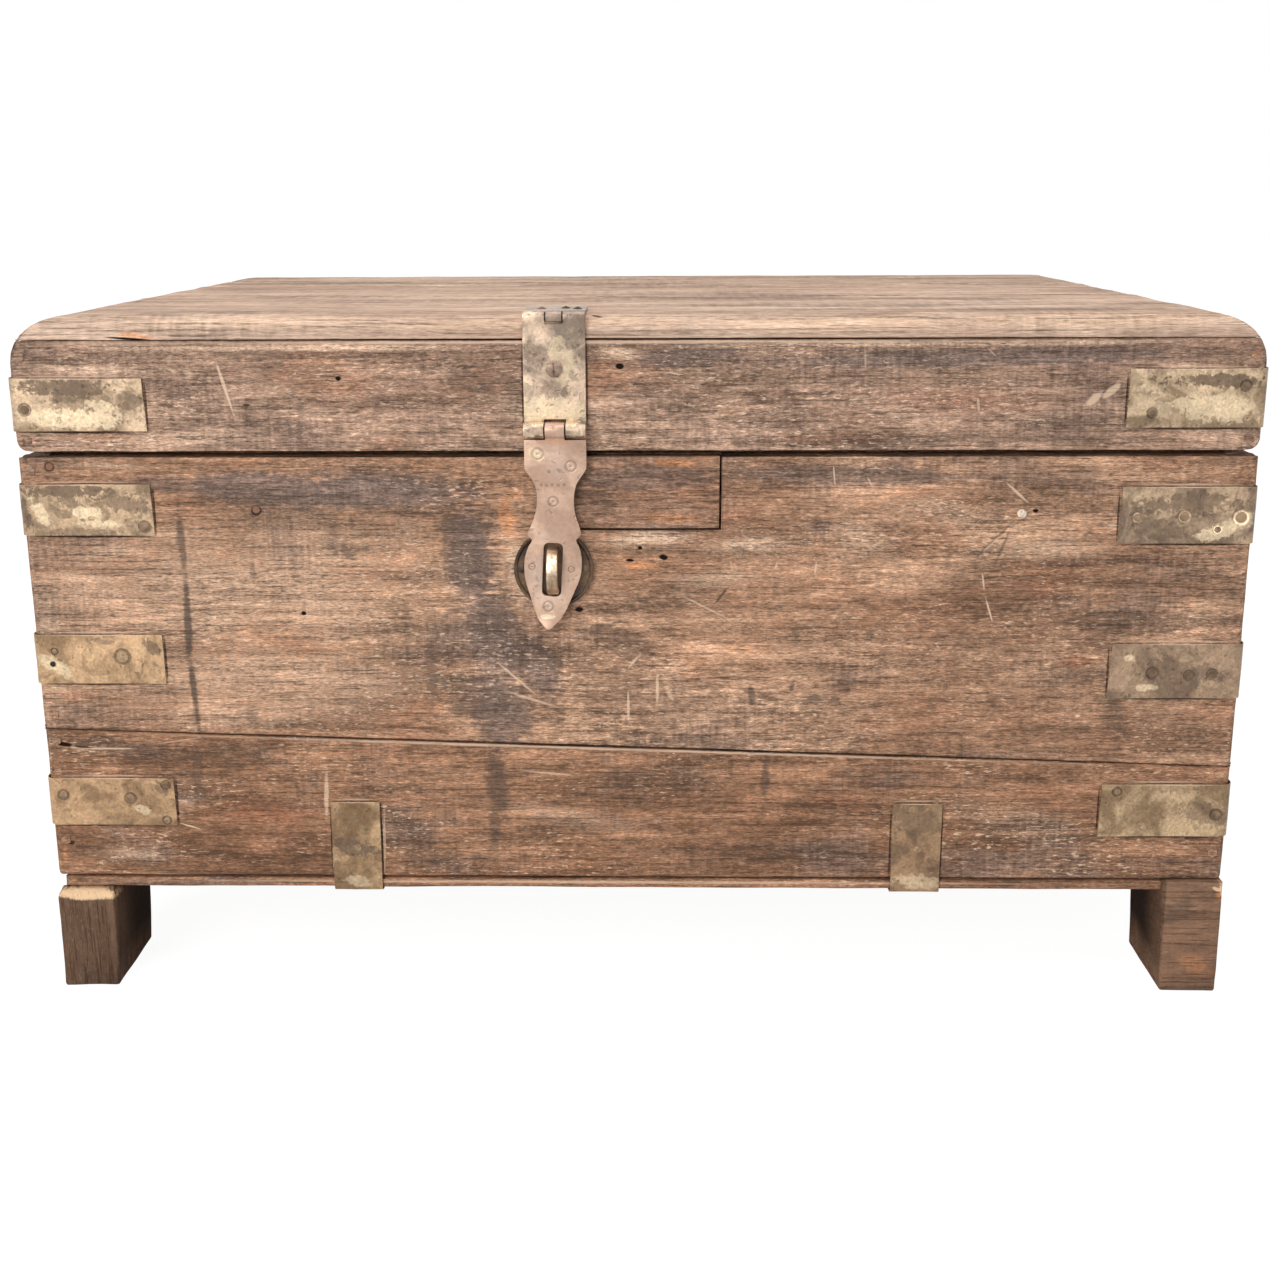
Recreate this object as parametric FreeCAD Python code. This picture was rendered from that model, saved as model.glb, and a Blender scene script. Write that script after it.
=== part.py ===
import FreeCAD, Part

import math
import os

from FreeCAD import Vector

# A weathered wooden chest on four block feet, with a flat hinged lid, brass corner
# straps and a three-leaf hasp that drops over a staple.
# Millimetres. X is the width, Y the depth with the front facing -Y, Z is up.
# The origin is on the floor, under the middle of the whole chest.

# Carcass
chest_width = 950.0
chest_depth = 520.0
wall_thickness = 22.0
wall_height = 350.0        # from the bottom boards to the rim
base_thickness = 10.0
rebate_depth = 10.0        # how far a side board's end is let into the front or back board
seam_gap = 0.5             # shrinkage between two boards edge to edge
front_seam_left = 129.0    # the front seam runs uphill to the left, above the bottom boards
front_seam_right = 99.0
back_seam = 118.0
side_seam = 140.0
corner_round = 7.0         # upright corners of the body and of the lid
rim_arris = 2.5
wall_end_arris = 7.0       # worn ends of the rim and of the lowest boards
base_arris = 3.5
base_board_shares = (0.36, 0.31, 0.33)    # widths of the bottom boards, front to back

# Let-in repair in the front's rim
patch_left = 60.0          # its left end is this far left of the middle
patch_right = 66.5
patch_drop = 57.4
patch_thickness = 14.0

# Feet
foot_height = 87.0
foot_width = 51.0
foot_depth = 77.0
foot_proud = 4.0           # the feet stand out past the front and the back
foot_taper = 3.0           # the outer side leans in towards the floor
foot_chamfer = 6.0
foot_clip = 3.0            # worn edges, upright and round the sole

# Lid
lid_gap = 3.0
rail_height = 86.0
top_thickness = 19.0
top_side_round = 28.0
top_front_round = 13.0
lid_end_arris = 10.0
top_board_shares = (0.37, 0.3, 0.33)      # widths of the top boards, front to back

# Pegs
peg_across = 7.0           # across the flats of a hand-cut six-sided peg
peg_grip = 34.0            # how far a peg goes into the second board
peg_clearance = 0.1
lower_peg_shares = (0.25, 0.92)           # up a lower board's end
upper_peg_shares = (0.05, 0.95)           # up an upper board's end
rail_peg_shares = (0.11, 0.86)

# Corner straps
strap_thickness = 1.4
strap_bedding = 0.1        # straps and plates bed this far off the wood
strap_clip = 1.5
strap_front_leg = 104.0
strap_side_leg = 100.0
strap_width_left = 41.0
strap_width_right = 45.0
strap_rows = ("top", "middle", "bottom")
left_strap_shares = (0.88, 0.535, 0.19)   # up the wall, a share to each row
right_strap_shares = (0.867, 0.51, 0.176)
left_lid_strap_share = 0.43
right_lid_strap_share = 0.47

# Base straps
base_strap_width = 40.0
base_strap_inset = 249.0   # their middles, from the chest's ends
base_strap_rise = 77.0     # up the front or the back, from the underside
base_strap_under = 60.0

# Hand-forged nails: a square shank drawn to a point, under a low six-sided rose head
nail_head = 7.0
nail_head_height = 1.6
nail_shank = 3.6
nail_clearance = 0.1
hinge_nail_length = 17.0
hasp_nail_length = 15.0
plate_nail_length = 14.0
foot_nail_length = 48.0
foot_nail_edge = 14.0      # from the wall's inner face
foot_nail_pitch = 24.0

# Slotted screw of the hasp
screw_head = 12.8
screw_head_height = 2.4
screw_crown_share = 0.66   # the flat top of the domed head, of its width
screw_slot_width = 1.0
screw_slot_share = 0.5     # of the head's height
screw_shank = 5.0
screw_length = 18.0
screw_clearance = 0.1

# Back hinges
hinge_inset = 175.0        # their middles, from the chest's ends
hinge_length = 90.0
hinge_leaf_height = 52.0
hinge_leaf_thickness = 2.5
hinge_barrel = 11.0
hinge_pin = 6.0
hinge_knuckles = 3
hinge_clip = 4.0           # the leaf's clipped corners
hinge_nail_shares = ((0.16, 0.5), (0.5, 0.78), (0.84, 0.5))    # across and down a leaf
pin_clearance = 0.05       # radial, in every barrel
knuckle_gap = 0.4
barrel_gap = 0.6           # between a barrel and the leaf that turns round it

# Hasp
hasp_place = 59.0          # its middle is this far left of the chest's middle
hasp_width = 47.0
hasp_leaf_thickness = 2.2
hasp_top_length = 45.0
hasp_top_barrel = 9.0
hasp_top_pin = 4.0
hasp_top_knuckle = 12.0
hasp_top_sunk = 2.2        # the upper pin's centre below the lid's top
hasp_top_inset = 1.2       # and behind the lid's front
groove_clearance = 0.4
hasp_low_barrel = 12.0
hasp_low_pin = 5.0
hasp_low_knuckle = 14.6
hasp_low_rise = 18.0       # the lower pin's centre above the lid's lower edge
hasp_barrel_lift = 0.4     # between the lower barrel and the wood
hasp_window = 1.5          # gap above the swinging knuckle
hasp_screw_rise = 64.0     # above the lid's lower edge
hasp_nail_shares = ((0.28, 0.45), (0.66, 0.56), (0.86, 0.42))

# Swinging leaf, measured down from the lower pin
leaf_thickness = 3.0
leaf_lift = 4.0            # between its back and the wood
leaf_lean = 1.6            # degrees, its tip towards the left
leaf_top = 7.2
leaf_tip = 26.75           # from the slot's lower end to the tip
leaf_half_widths = {"top": 23.5, "neck": 13.8, "ear": 20.2, "notch": 17.2, "blade": 22.5, "tip": 9.0}
leaf_shares = {"shoulder": 0.19, "chamfer": 0.255, "neck": 0.345, "ear": 0.505, "notch": 0.536,
               "blade": 0.67, "taper": 0.885, "tip": 0.958}
leaf_chamfer_share = 0.84  # how much of the way in to the neck the straight chamfer goes
slot_width = 15.0
slot_length = 43.5         # its middle is level with the staple's
slot_round = 4.5
curl_length = 9.0
curl_radius = 9.0

# Staple and its plate
staple_width = 9.0
staple_thickness = 3.6
staple_radius = 18.5       # outside of its bow
staple_reach = 24.0        # in front of the wood
staple_place = 62.0        # left of the chest's middle
staple_drop = 88.5         # its middle below the rim
staple_clinch = 16.0       # how far its tails are bent over inside
staple_clearance = 0.2
plate_radius = 31.0
plate_thickness = 1.6
plate_rim_height = 3.0
plate_rim_width = 2.4
plate_nail_place = 24.0

# One overrun for every cut that has to pass through
overrun = 5.0

# Heights and faces that everything else is placed by
half_width = chest_width / 2
base_bottom = foot_height
base_top = base_bottom + base_thickness
rim = base_top + wall_height
lid_bottom = rim + lid_gap
rail_top = lid_bottom + rail_height
lid_top = rail_top + top_thickness
hinge_reach = strap_bedding + hinge_barrel / 2
back_reach = hinge_reach + hinge_barrel / 2
front = (staple_reach - back_reach - chest_depth) / 2
back = front + chest_depth
hinge_height = rim + lid_gap / 2
low_pin_reach = hasp_barrel_lift + hasp_low_barrel / 2
low_pin_height = lid_bottom + hasp_low_rise
staple_height = rim - staple_drop
slot_top = low_pin_height - staple_height - slot_length / 2
slot_bottom = slot_top + slot_length
leaf_length = slot_bottom + leaf_tip
base_strap_place = half_width - base_strap_inset
hinge_place = half_width - hinge_inset


def block(x0, x1, y0, y1, z0, z1):
    return Part.makeBox(x1 - x0, y1 - y0, z1 - z0, Vector(x0, y0, z0))


def prism(points, direction):
    wire = Part.makePolygon(points + [points[0]])
    return Part.Face(wire).extrude(direction)


# The edges of a box that run along one axis, all of them or those at one height
def edges_along(box, axis, height=None):
    edges = []
    for edge in box.Edges:
        run = edge.Vertexes[-1].Point - edge.Vertexes[0].Point
        along = abs(run.dot(axis)) > edge.Length / 2
        if along and (height is None or math.isclose(edge.CenterOfMass.z, height, rel_tol=1e-6)):
            edges.append(edge)
    return edges


def round_along(box, axis, radius, height=None):
    return box.makeFillet(radius, edges_along(box, axis, height))


# A box worn round: what three boxes, each rounded along one axis, have in common
def worn_box(z0, z1, along_x, along_y, upright, low_x, low_y):
    whole = block(-half_width, half_width, front, back, z0, z1)
    across = round_along(whole, Vector(1, 0, 0), along_x, z1)
    across = round_along(across, Vector(1, 0, 0), low_x, z0)
    lengthways = round_along(whole, Vector(0, 1, 0), along_y, z1)
    lengthways = round_along(lengthways, Vector(0, 1, 0), low_y, z0)
    corners = round_along(whole, Vector(0, 0, 1), upright)
    return across.common(lengthways).common(corners)


def cut_all(shape, tools):
    return shape.cut(Part.makeCompound(tools)) if tools else shape


def one_solid(shape):
    return shape.Solids[0] if len(shape.Solids) == 1 else shape


# Moves a shape from its own frame, where it points down into the XY plane
def driven(shape, at, inward):
    moved = shape.copy()
    moved.Placement = FreeCAD.Placement(at, FreeCAD.Rotation(Vector(0, 0, -1), inward))
    return moved


def mirrored_x(shape):
    return shape.mirror(Vector(0, 0, 0), Vector(1, 0, 0))


def mirrored_y(shape):
    return shape.mirror(Vector(0, (front + back) / 2, 0), Vector(0, 1, 0))


# Fasteners

def polygon(across, sides, z=0.0):
    radius = across / 2 / math.cos(math.pi / sides)
    turn = 2 * math.pi / sides
    return [Vector(radius * math.cos(turn * (step + 1 / 2)), radius * math.sin(turn * (step + 1 / 2)), z)
            for step in range(sides)]


# A pyramid on a flat polygon
def spike(points, apex):
    faces = [Part.Face(Part.makePolygon([a, b, apex, a]))
             for a, b in zip(points, points[1:] + points[:1])]
    faces.append(Part.Face(Part.makePolygon(points + [points[0]])))
    solid = Part.makeSolid(Part.makeShell(faces))
    if solid.Volume < 0:
        solid.reverse()
    return solid


# A nail driven at a place, and the hole that it makes
def drive_nail(at, inward, length):
    point = spike(polygon(nail_shank, 4), Vector(0, 0, -length))
    rose = spike(polygon(nail_head, 6), Vector(0, 0, nail_head_height))
    wide = nail_shank + 2 * nail_clearance
    hole = spike(polygon(wide, 4), Vector(0, 0, -length * wide / nail_shank))
    return driven(rose.fuse(point), at, inward), driven(hole, at, inward)


# A six-sided peg driven flush with the face, and its hole
def drive_peg(at, inward):
    def peg(clearance):
        length = wall_thickness - rebate_depth + peg_grip + clearance
        return prism(polygon(peg_across + 2 * clearance, 6, -length), Vector(0, 0, length))

    return driven(peg(0), at, inward), driven(peg(peg_clearance), at, inward)


# The hasp's slotted screw, and its hole
def drive_screw(at, inward):
    radius, height = screw_head / 2, screw_head_height
    dome = Part.makeCone(radius, radius * screw_crown_share, height)
    slot = block(-radius, radius, -screw_slot_width / 2, screw_slot_width / 2,
                 height * (1 - screw_slot_share), height + overrun)
    shank = spike(polygon(screw_shank, 6), Vector(0, 0, -screw_length))
    wide = screw_shank + 2 * screw_clearance
    hole = spike(polygon(wide, 6), Vector(0, 0, -screw_length * wide / screw_shank))
    return driven(dome.cut(slot).fuse(shank), at, inward), driven(hole, at, inward)


# Corner straps. In its own frame the strap wraps the corner at the origin: one leg runs
# along +X on the face y = 0 and the other along +Y on the face x = 0.

def corner_strap(width):
    inner, outer = -strap_bedding, -strap_bedding - strap_thickness
    turn = Vector(corner_round, corner_round, 0)
    half = math.sqrt(0.5)

    def bend(offset):
        reach = (corner_round - offset) * half
        return turn - Vector(reach, reach, 0)

    def arc(start, offset, end):
        return Part.Arc(start, bend(offset), end).toShape()

    a = Vector(strap_front_leg, outer, 0)
    b = Vector(strap_front_leg, inner, 0)
    c = Vector(corner_round, inner, 0)
    d = Vector(inner, corner_round, 0)
    e = Vector(inner, strap_side_leg, 0)
    f = Vector(outer, strap_side_leg, 0)
    g = Vector(outer, corner_round, 0)
    h = Vector(corner_round, outer, 0)
    edges = [Part.makeLine(a, b), Part.makeLine(b, c), arc(c, inner, d), Part.makeLine(d, e),
             Part.makeLine(e, f), Part.makeLine(f, g), arc(g, outer, h), Part.makeLine(h, a)]
    strap = Part.Face(Part.Wire(edges)).extrude(Vector(0, 0, width))
    ends = [edge for edge in strap.Edges
            if math.isclose(edge.Length, strap_thickness, rel_tol=1e-6)
            and abs(edge.Vertexes[0].Point.z - edge.Vertexes[-1].Point.z) < strap_bedding]
    return strap.makeChamfer(strap_clip, ends)


# Puts a strap made for the front left corner at any corner of the chest
def strap_at_corner(strap, side, end, z):
    moved = strap.translated(Vector(-half_width, front, z))
    if side == "right":
        moved = mirrored_x(moved)
    return mirrored_y(moved) if end == "back" else moved


def strap_width(side):
    return strap_width_left if side == "left" else strap_width_right


def body_straps():
    straps = {}
    for side, shares in (("left", left_strap_shares), ("right", right_strap_shares)):
        width = strap_width(side)
        for end in ("front", "back"):
            for row, share in zip(strap_rows, shares):
                z = base_top + share * wall_height - width / 2
                straps[f"strap_{end}_{side}_{row}"] = strap_at_corner(corner_strap(width), side, end, z)
    return straps


def lid_straps():
    straps = {}
    for side, share in (("left", left_lid_strap_share), ("right", right_lid_strap_share)):
        width = strap_width(side)
        for end in ("front", "back"):
            z = lid_bottom + share * rail_height - width / 2
            straps[f"lid_strap_{end}_{side}"] = strap_at_corner(corner_strap(width), side, end, z)
    return straps


# A base strap runs up the front and bends under the bottom board
def base_strap():
    inner, outer = -strap_bedding, -strap_bedding - strap_thickness
    bend = base_arris + strap_bedding    # it follows the board's rounded edge
    diagonal = math.sqrt(0.5)
    centre = Vector(0, inner + bend, inner + bend)

    def on_bend(radius):
        return centre - Vector(0, radius * diagonal, radius * diagonal)

    a = Vector(0, outer, base_strap_rise)
    b = Vector(0, inner, base_strap_rise)
    c = Vector(0, inner, inner + bend)
    d = Vector(0, inner + bend, inner)
    e = Vector(0, base_strap_under, inner)
    f = Vector(0, base_strap_under, outer)
    g = Vector(0, inner + bend, outer)
    h = Vector(0, outer, inner + bend)
    edges = [Part.makeLine(a, b), Part.makeLine(b, c),
             Part.Arc(c, on_bend(bend), d).toShape(), Part.makeLine(d, e),
             Part.makeLine(e, f), Part.makeLine(f, g),
             Part.Arc(g, on_bend(bend + strap_thickness), h).toShape(), Part.makeLine(h, a)]
    return Part.Face(Part.Wire(edges)).extrude(Vector(base_strap_width, 0, 0))


def base_straps():
    straps = {}
    corner = Vector(-base_strap_place - base_strap_width / 2, front, base_bottom)
    for side in ("left", "right"):
        for end in ("front", "back"):
            strap = base_strap().translated(corner)
            strap = mirrored_x(strap) if side == "right" else strap
            straps[f"base_strap_{end}_{side}"] = mirrored_y(strap) if end == "back" else strap
    return straps


# Pegs through the front and back boards into the ends of the side boards
def carcass_pegs():
    pegs, holes = [], []
    peg_x = half_width - wall_thickness / 2
    for x in (-peg_x, peg_x):
        for face, inward in ((front, Vector(0, 1, 0)), (back, Vector(0, -1, 0))):
            seam = back_seam
            if face == front:
                seam = front_seam_left if x < 0 else front_seam_right
            heights = [base_top + share * seam for share in lower_peg_shares]
            heights += [base_top + seam + share * (wall_height - seam) for share in upper_peg_shares]
            for z in heights:
                solid, hole = drive_peg(Vector(x, face, z), inward)
                pegs.append(solid)
                holes.append(hole)
    return pegs, holes


# Pegs through the lid's front and back rails into the ends of its side rails
def lid_pegs():
    pegs, holes = [], []
    peg_x = half_width - wall_thickness / 2
    for x in (-peg_x, peg_x):
        for face, inward in ((front, Vector(0, 1, 0)), (back, Vector(0, -1, 0))):
            for share in rail_peg_shares:
                at = Vector(x, face, lid_bottom + share * rail_height)
                solid, hole = drive_peg(at, inward)
                pegs.append(solid)
                holes.append(hole)
    return pegs, holes


# Boards

def walls_envelope():
    return worn_box(base_top, rim, rim_arris, wall_end_arris, corner_round, rim_arris, wall_end_arris)


def lid_envelope():
    return worn_box(lid_bottom, lid_top, top_front_round, top_side_round, corner_round,
                    rim_arris, lid_end_arris)


def base_envelope():
    return worn_box(base_bottom, base_top, base_arris, base_arris, corner_round,
                    base_arris, base_arris)


# The end of a front or back board or rail, cut away behind for the side board
def end_rebates(z0, z1, inner_face, towards):
    rebates = []
    depth = towards * rebate_depth
    y0, y1 = sorted((inner_face, inner_face - depth))
    if towards > 0:
        y1 += overrun
    else:
        y0 -= overrun
    for side in (-1, 1):
        x0, x1 = sorted((side * (half_width - wall_thickness), side * (half_width + overrun)))
        rebates.append(block(x0, x1, y0, y1, z0 - overrun, z1 + overrun))
    return rebates


# A board across the whole width, its lower and upper edges given at both ends
def wide_board(y0, y1, low_left, low_right, high_left, high_right):
    points = [Vector(-half_width, y0, low_left), Vector(half_width, y0, low_right),
              Vector(half_width, y0, high_right), Vector(-half_width, y0, high_left)]
    return prism(points, Vector(0, y1 - y0, 0))


def patch_notch(gap):
    return block(-patch_left - gap, patch_right + gap, front - overrun, front + patch_thickness + gap,
                 rim - patch_drop - gap, rim + overrun)


def front_boards(envelope):
    inner = front + wall_thickness
    left, right = base_top + front_seam_left, base_top + front_seam_right
    lower = wide_board(front, inner, base_top, base_top, left - seam_gap, right - seam_gap)
    upper = wide_board(front, inner, left, right, rim, rim)
    rebates = end_rebates(base_top, rim, inner, 1)
    upper = cut_all(upper, rebates + [patch_notch(seam_gap)])
    return {"front_upper_board": upper.common(envelope),
            "front_lower_board": cut_all(lower, rebates).common(envelope)}


def front_patch(envelope):
    whole = block(-half_width, half_width, front, back, base_top, rim)
    return patch_notch(0).common(whole).common(envelope)


def back_boards(envelope):
    inner = back - wall_thickness
    seam = base_top + back_seam
    rebates = end_rebates(base_top, rim, inner, -1)
    lower = wide_board(inner, back, base_top, base_top, seam - seam_gap, seam - seam_gap)
    upper = wide_board(inner, back, seam, seam, rim, rim)
    return {"back_upper_board": cut_all(upper, rebates).common(envelope),
            "back_lower_board": cut_all(lower, rebates).common(envelope)}


# A side board or rail sits between the front and the back, let into their rebates
def side_piece(side, z0, z1):
    y0 = front + wall_thickness - rebate_depth
    y1 = back - wall_thickness + rebate_depth
    x0, x1 = sorted((side * half_width, side * (half_width - wall_thickness)))
    return block(x0, x1, y0, y1, z0, z1)


def side_boards(envelope):
    boards = {}
    seam = base_top + side_seam
    for name, side in (("left", -1), ("right", 1)):
        boards[f"{name}_lower_board"] = side_piece(side, base_top, seam - seam_gap).common(envelope)
        boards[f"{name}_upper_board"] = side_piece(side, seam, rim).common(envelope)
    return boards


# Boards side by side over the whole depth, by their shares of it
def boards_across(names, shares, z0, z1):
    boards = {}
    y = front
    for name, share in zip(names, shares):
        width = share * chest_depth
        last = name == names[-1]
        y1 = back if last else y + width - seam_gap
        boards[name] = block(-half_width, half_width, y, y1, z0, z1)
        y += width
    return boards


def bottom_boards():
    names = ["bottom_board_front", "bottom_board_middle", "bottom_board_back"]
    boards = boards_across(names, base_board_shares, base_bottom, base_top)
    envelope = base_envelope()
    return {name: board.common(envelope) for name, board in boards.items()}


def lid_rails(envelope):
    rebates = end_rebates(lid_bottom, rail_top, front + wall_thickness, 1)
    rail = wide_board(front, front + wall_thickness, lid_bottom, lid_bottom, rail_top, rail_top)
    rails = {"lid_front_rail": cut_all(rail, rebates).common(envelope)}
    rebates = end_rebates(lid_bottom, rail_top, back - wall_thickness, -1)
    rail = wide_board(back - wall_thickness, back, lid_bottom, lid_bottom, rail_top, rail_top)
    rails["lid_back_rail"] = cut_all(rail, rebates).common(envelope)
    for name, side in (("left", -1), ("right", 1)):
        rails[f"lid_{name}_rail"] = side_piece(side, lid_bottom, rail_top).common(envelope)
    return rails


def lid_top_boards(envelope):
    names = ["lid_top_front_board", "lid_top_middle_board", "lid_top_back_board"]
    boards = boards_across(names, top_board_shares, rail_top, lid_top)
    boards = {name: board.common(envelope) for name, board in boards.items()}
    # the upper barrel of the hasp is let into the front arris
    groove_radius = hasp_top_barrel / 2 + groove_clearance
    length = hasp_width + 2 * groove_clearance
    start = Vector(-hasp_place - length / 2, front + hasp_top_inset, lid_top - hasp_top_sunk)
    groove = Part.makeCylinder(groove_radius, length, start, Vector(1, 0, 0))
    boards[names[0]] = boards[names[0]].cut(groove)
    return boards


# Feet

def foot():
    outer, inner = -half_width, -half_width + foot_width
    y0, y1 = front - foot_proud, front - foot_proud + foot_depth
    shoulder = base_bottom - foot_chamfer
    seen_from_front = prism([Vector(outer, y0, shoulder), Vector(outer + foot_chamfer, y0, base_bottom),
                             Vector(inner, y0, base_bottom), Vector(inner, y0, foot_clip),
                             Vector(inner - foot_clip, y0, 0),
                             Vector(outer + foot_taper + foot_clip, y0, 0),
                             Vector(outer + foot_taper, y0, foot_clip)], Vector(0, foot_depth, 0))
    seen_from_side = prism([Vector(outer, y0, shoulder), Vector(outer, y0 + foot_proud, base_bottom),
                            Vector(outer, y1, base_bottom), Vector(outer, y1, foot_clip),
                            Vector(outer, y1 - foot_clip, 0), Vector(outer, y0 + foot_clip, 0),
                            Vector(outer, y0, foot_clip)], Vector(foot_width, 0, 0))
    plan = block(outer, inner, y0, y1, 0, base_bottom)
    plan = plan.makeChamfer(foot_clip, edges_along(plan, Vector(0, 0, 1)))
    return seen_from_front.common(seen_from_side).common(plan)


def feet():
    one = foot()
    return {"foot_front_left": one, "foot_front_right": mirrored_x(one),
            "foot_back_left": mirrored_y(one), "foot_back_right": mirrored_y(mirrored_x(one))}


# Two nails hold each foot, driven down through the bottom board inside the walls
def foot_nails():
    nails, holes = [], []
    down = Vector(0, 0, -1)
    x = half_width - wall_thickness - foot_nail_edge
    for side in (-1, 1):
        for step in (0, 1):
            inset = wall_thickness + foot_nail_edge + step * foot_nail_pitch
            for y in (front + inset, back - inset):
                solid, hole = drive_nail(Vector(side * x, y, base_top), down, foot_nail_length)
                nails.append(solid)
                holes.append(hole)
    return nails, holes


# Back hinges. The pin runs along X; knuckles alternate between the two leaves.

def knuckle_spans(length, count):
    pitch = length / count
    spans = []
    for step in range(count):
        start = -length / 2 + step * pitch
        spans.append((start + knuckle_gap / 2, start + pitch - knuckle_gap / 2))
    return spans


# One leaf hangs below the pin, its knuckles at the given turns; the other is its mirror
def hinge_leaf(own_spans, other_spans):
    wood = -hinge_reach
    plate = block(-hinge_length / 2, hinge_length / 2, wood + strap_bedding,
                  wood + strap_bedding + hinge_leaf_thickness, -hinge_leaf_height, 0)
    corners = [edge for edge in plate.Edges
               if math.isclose(edge.Length, hinge_leaf_thickness, rel_tol=1e-6)
               and math.isclose(edge.CenterOfMass.z, -hinge_leaf_height, rel_tol=1e-6)]
    plate = plate.makeChamfer(hinge_clip, corners)
    radius = hinge_barrel / 2
    clear = radius + barrel_gap
    gaps = [block(x0 - knuckle_gap, x1 + knuckle_gap, -clear - overrun, clear, -clear, clear)
            for x0, x1 in other_spans]
    plate = cut_all(plate, gaps)
    barrels = [Part.makeCylinder(radius, x1 - x0, Vector(x0, 0, 0), Vector(1, 0, 0))
               for x0, x1 in own_spans]
    leaf = plate.multiFuse(barrels).removeSplitter()
    bore = Part.makeCylinder(hinge_pin / 2 + pin_clearance, hinge_length + 2 * overrun,
                             Vector(-hinge_length / 2 - overrun, 0, 0), Vector(1, 0, 0))
    return leaf.cut(bore)


def hinge_nail_places():
    y = -hinge_reach + strap_bedding + hinge_leaf_thickness
    return [Vector((across - 1 / 2) * hinge_length, y, -down * hinge_leaf_height)
            for across, down in hinge_nail_shares]


def hinges():
    spans = knuckle_spans(hinge_length, hinge_knuckles)
    body_leaf = hinge_leaf(spans[0::2], spans[1::2])
    lid_leaf = hinge_leaf(spans[1::2], spans[0::2]).mirror(Vector(0, 0, 0), Vector(0, 0, 1))
    pin = Part.makeCylinder(hinge_pin / 2, hinge_length, Vector(-hinge_length / 2, 0, 0), Vector(1, 0, 0))
    pieces = {"pins": []}
    for owner, sign, leaf in (("body", 1, body_leaf), ("lid", -1, lid_leaf)):
        leaves, nails, holes = [], [], []
        for x in (-hinge_place, hinge_place):
            centre = Vector(x, back + hinge_reach, hinge_height)
            for place in hinge_nail_places():
                at = centre + Vector(place.x, place.y, sign * place.z)
                solid, hole = drive_nail(at, Vector(0, -1, 0), hinge_nail_length)
                nails.append(solid)
                holes.append(hole)
            leaves.append(cut_all(leaf.translated(centre), holes[-len(hinge_nail_shares):]))
        pieces[owner] = {"leaves": leaves, "nails": nails, "holes": holes}
    for x in (-hinge_place, hinge_place):
        pieces["pins"].append(pin.translated(Vector(x, back + hinge_reach, hinge_height)))
    return pieces


# Hasp. The middle of its width is at x = -hasp_place.

def hasp_low_spans():
    half = hasp_low_knuckle / 2
    side = half + knuckle_gap + knuckle_gap / 2
    return [(-half, half)], [(-hasp_width / 2, -side), (side, hasp_width / 2)]


def hasp_top_spans():
    half = hasp_top_knuckle / 2
    side = half + knuckle_gap
    return [(-half, half)], [(-hasp_width / 2, -side), (side, hasp_width / 2)]


def barrels(spans, radius, centre):
    return [Part.makeCylinder(radius, x1 - x0, centre + Vector(x0, 0, 0), Vector(1, 0, 0))
            for x0, x1 in spans]


def hasp_top_centre():
    return Vector(-hasp_place, front + hasp_top_inset, lid_top - hasp_top_sunk)


def hasp_low_centre():
    return Vector(-hasp_place, front - low_pin_reach, low_pin_height)


def hasp_bores():
    x0 = -hasp_width / 2 - overrun
    length = hasp_width + 2 * overrun
    bores = []
    for centre, pin in ((hasp_top_centre(), hasp_top_pin), (hasp_low_centre(), hasp_low_pin)):
        bores.append(Part.makeCylinder(pin / 2 + pin_clearance, length, centre + Vector(x0, 0, 0),
                                       Vector(1, 0, 0)))
    return bores


# The top leaf lies on the lid and holds the middle knuckle of the upper barrel
def hasp_top_leaf():
    middle, sides = hasp_top_spans()
    centre = hasp_top_centre()
    radius = hasp_top_barrel / 2
    clear = radius + barrel_gap
    low = lid_top + strap_bedding
    plate = block(centre.x - hasp_width / 2, centre.x + hasp_width / 2,
                  centre.y, centre.y + hasp_top_length, low, low + hasp_leaf_thickness)
    gaps = [block(centre.x + x0 - knuckle_gap, centre.x + x1 + knuckle_gap,
                  centre.y - overrun, centre.y + clear, lid_top, lid_top + clear) for x0, x1 in sides]
    plate = cut_all(plate, gaps)
    leaf = plate.multiFuse(barrels(middle, radius, centre)).removeSplitter()
    return leaf.cut(hasp_bores()[0])


# The middle leaf runs down the lid's front, from the upper barrel to the lower one
def hasp_middle_leaf():
    top_middle, top_sides = hasp_top_spans()
    low_middle, low_sides = hasp_low_spans()
    top, low = hasp_top_centre(), hasp_low_centre()
    plate_back = front - strap_bedding
    plate = block(top.x - hasp_width / 2, top.x + hasp_width / 2,
                  plate_back - hasp_leaf_thickness, plate_back, low.z, top.z)
    top_radius, low_radius = hasp_top_barrel / 2, hasp_low_barrel / 2
    x0, x1 = top_middle[0]
    top_gap = block(top.x + x0 - knuckle_gap, top.x + x1 + knuckle_gap, plate_back - overrun,
                    plate_back + overrun, top.z - top_radius - barrel_gap, top.z + overrun)
    x0, x1 = low_middle[0]
    side = knuckle_gap + knuckle_gap / 2
    low_gap = block(low.x + x0 - side, low.x + x1 + side, plate_back - overrun, plate_back + overrun,
                    low.z - overrun, low.z + low_radius + hasp_window)
    plate = cut_all(plate, [top_gap, low_gap])
    rolled = barrels(top_sides, top_radius, top) + barrels(low_sides, low_radius, low)
    leaf = plate.multiFuse(rolled).removeSplitter()
    return cut_all(leaf, hasp_bores())


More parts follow.
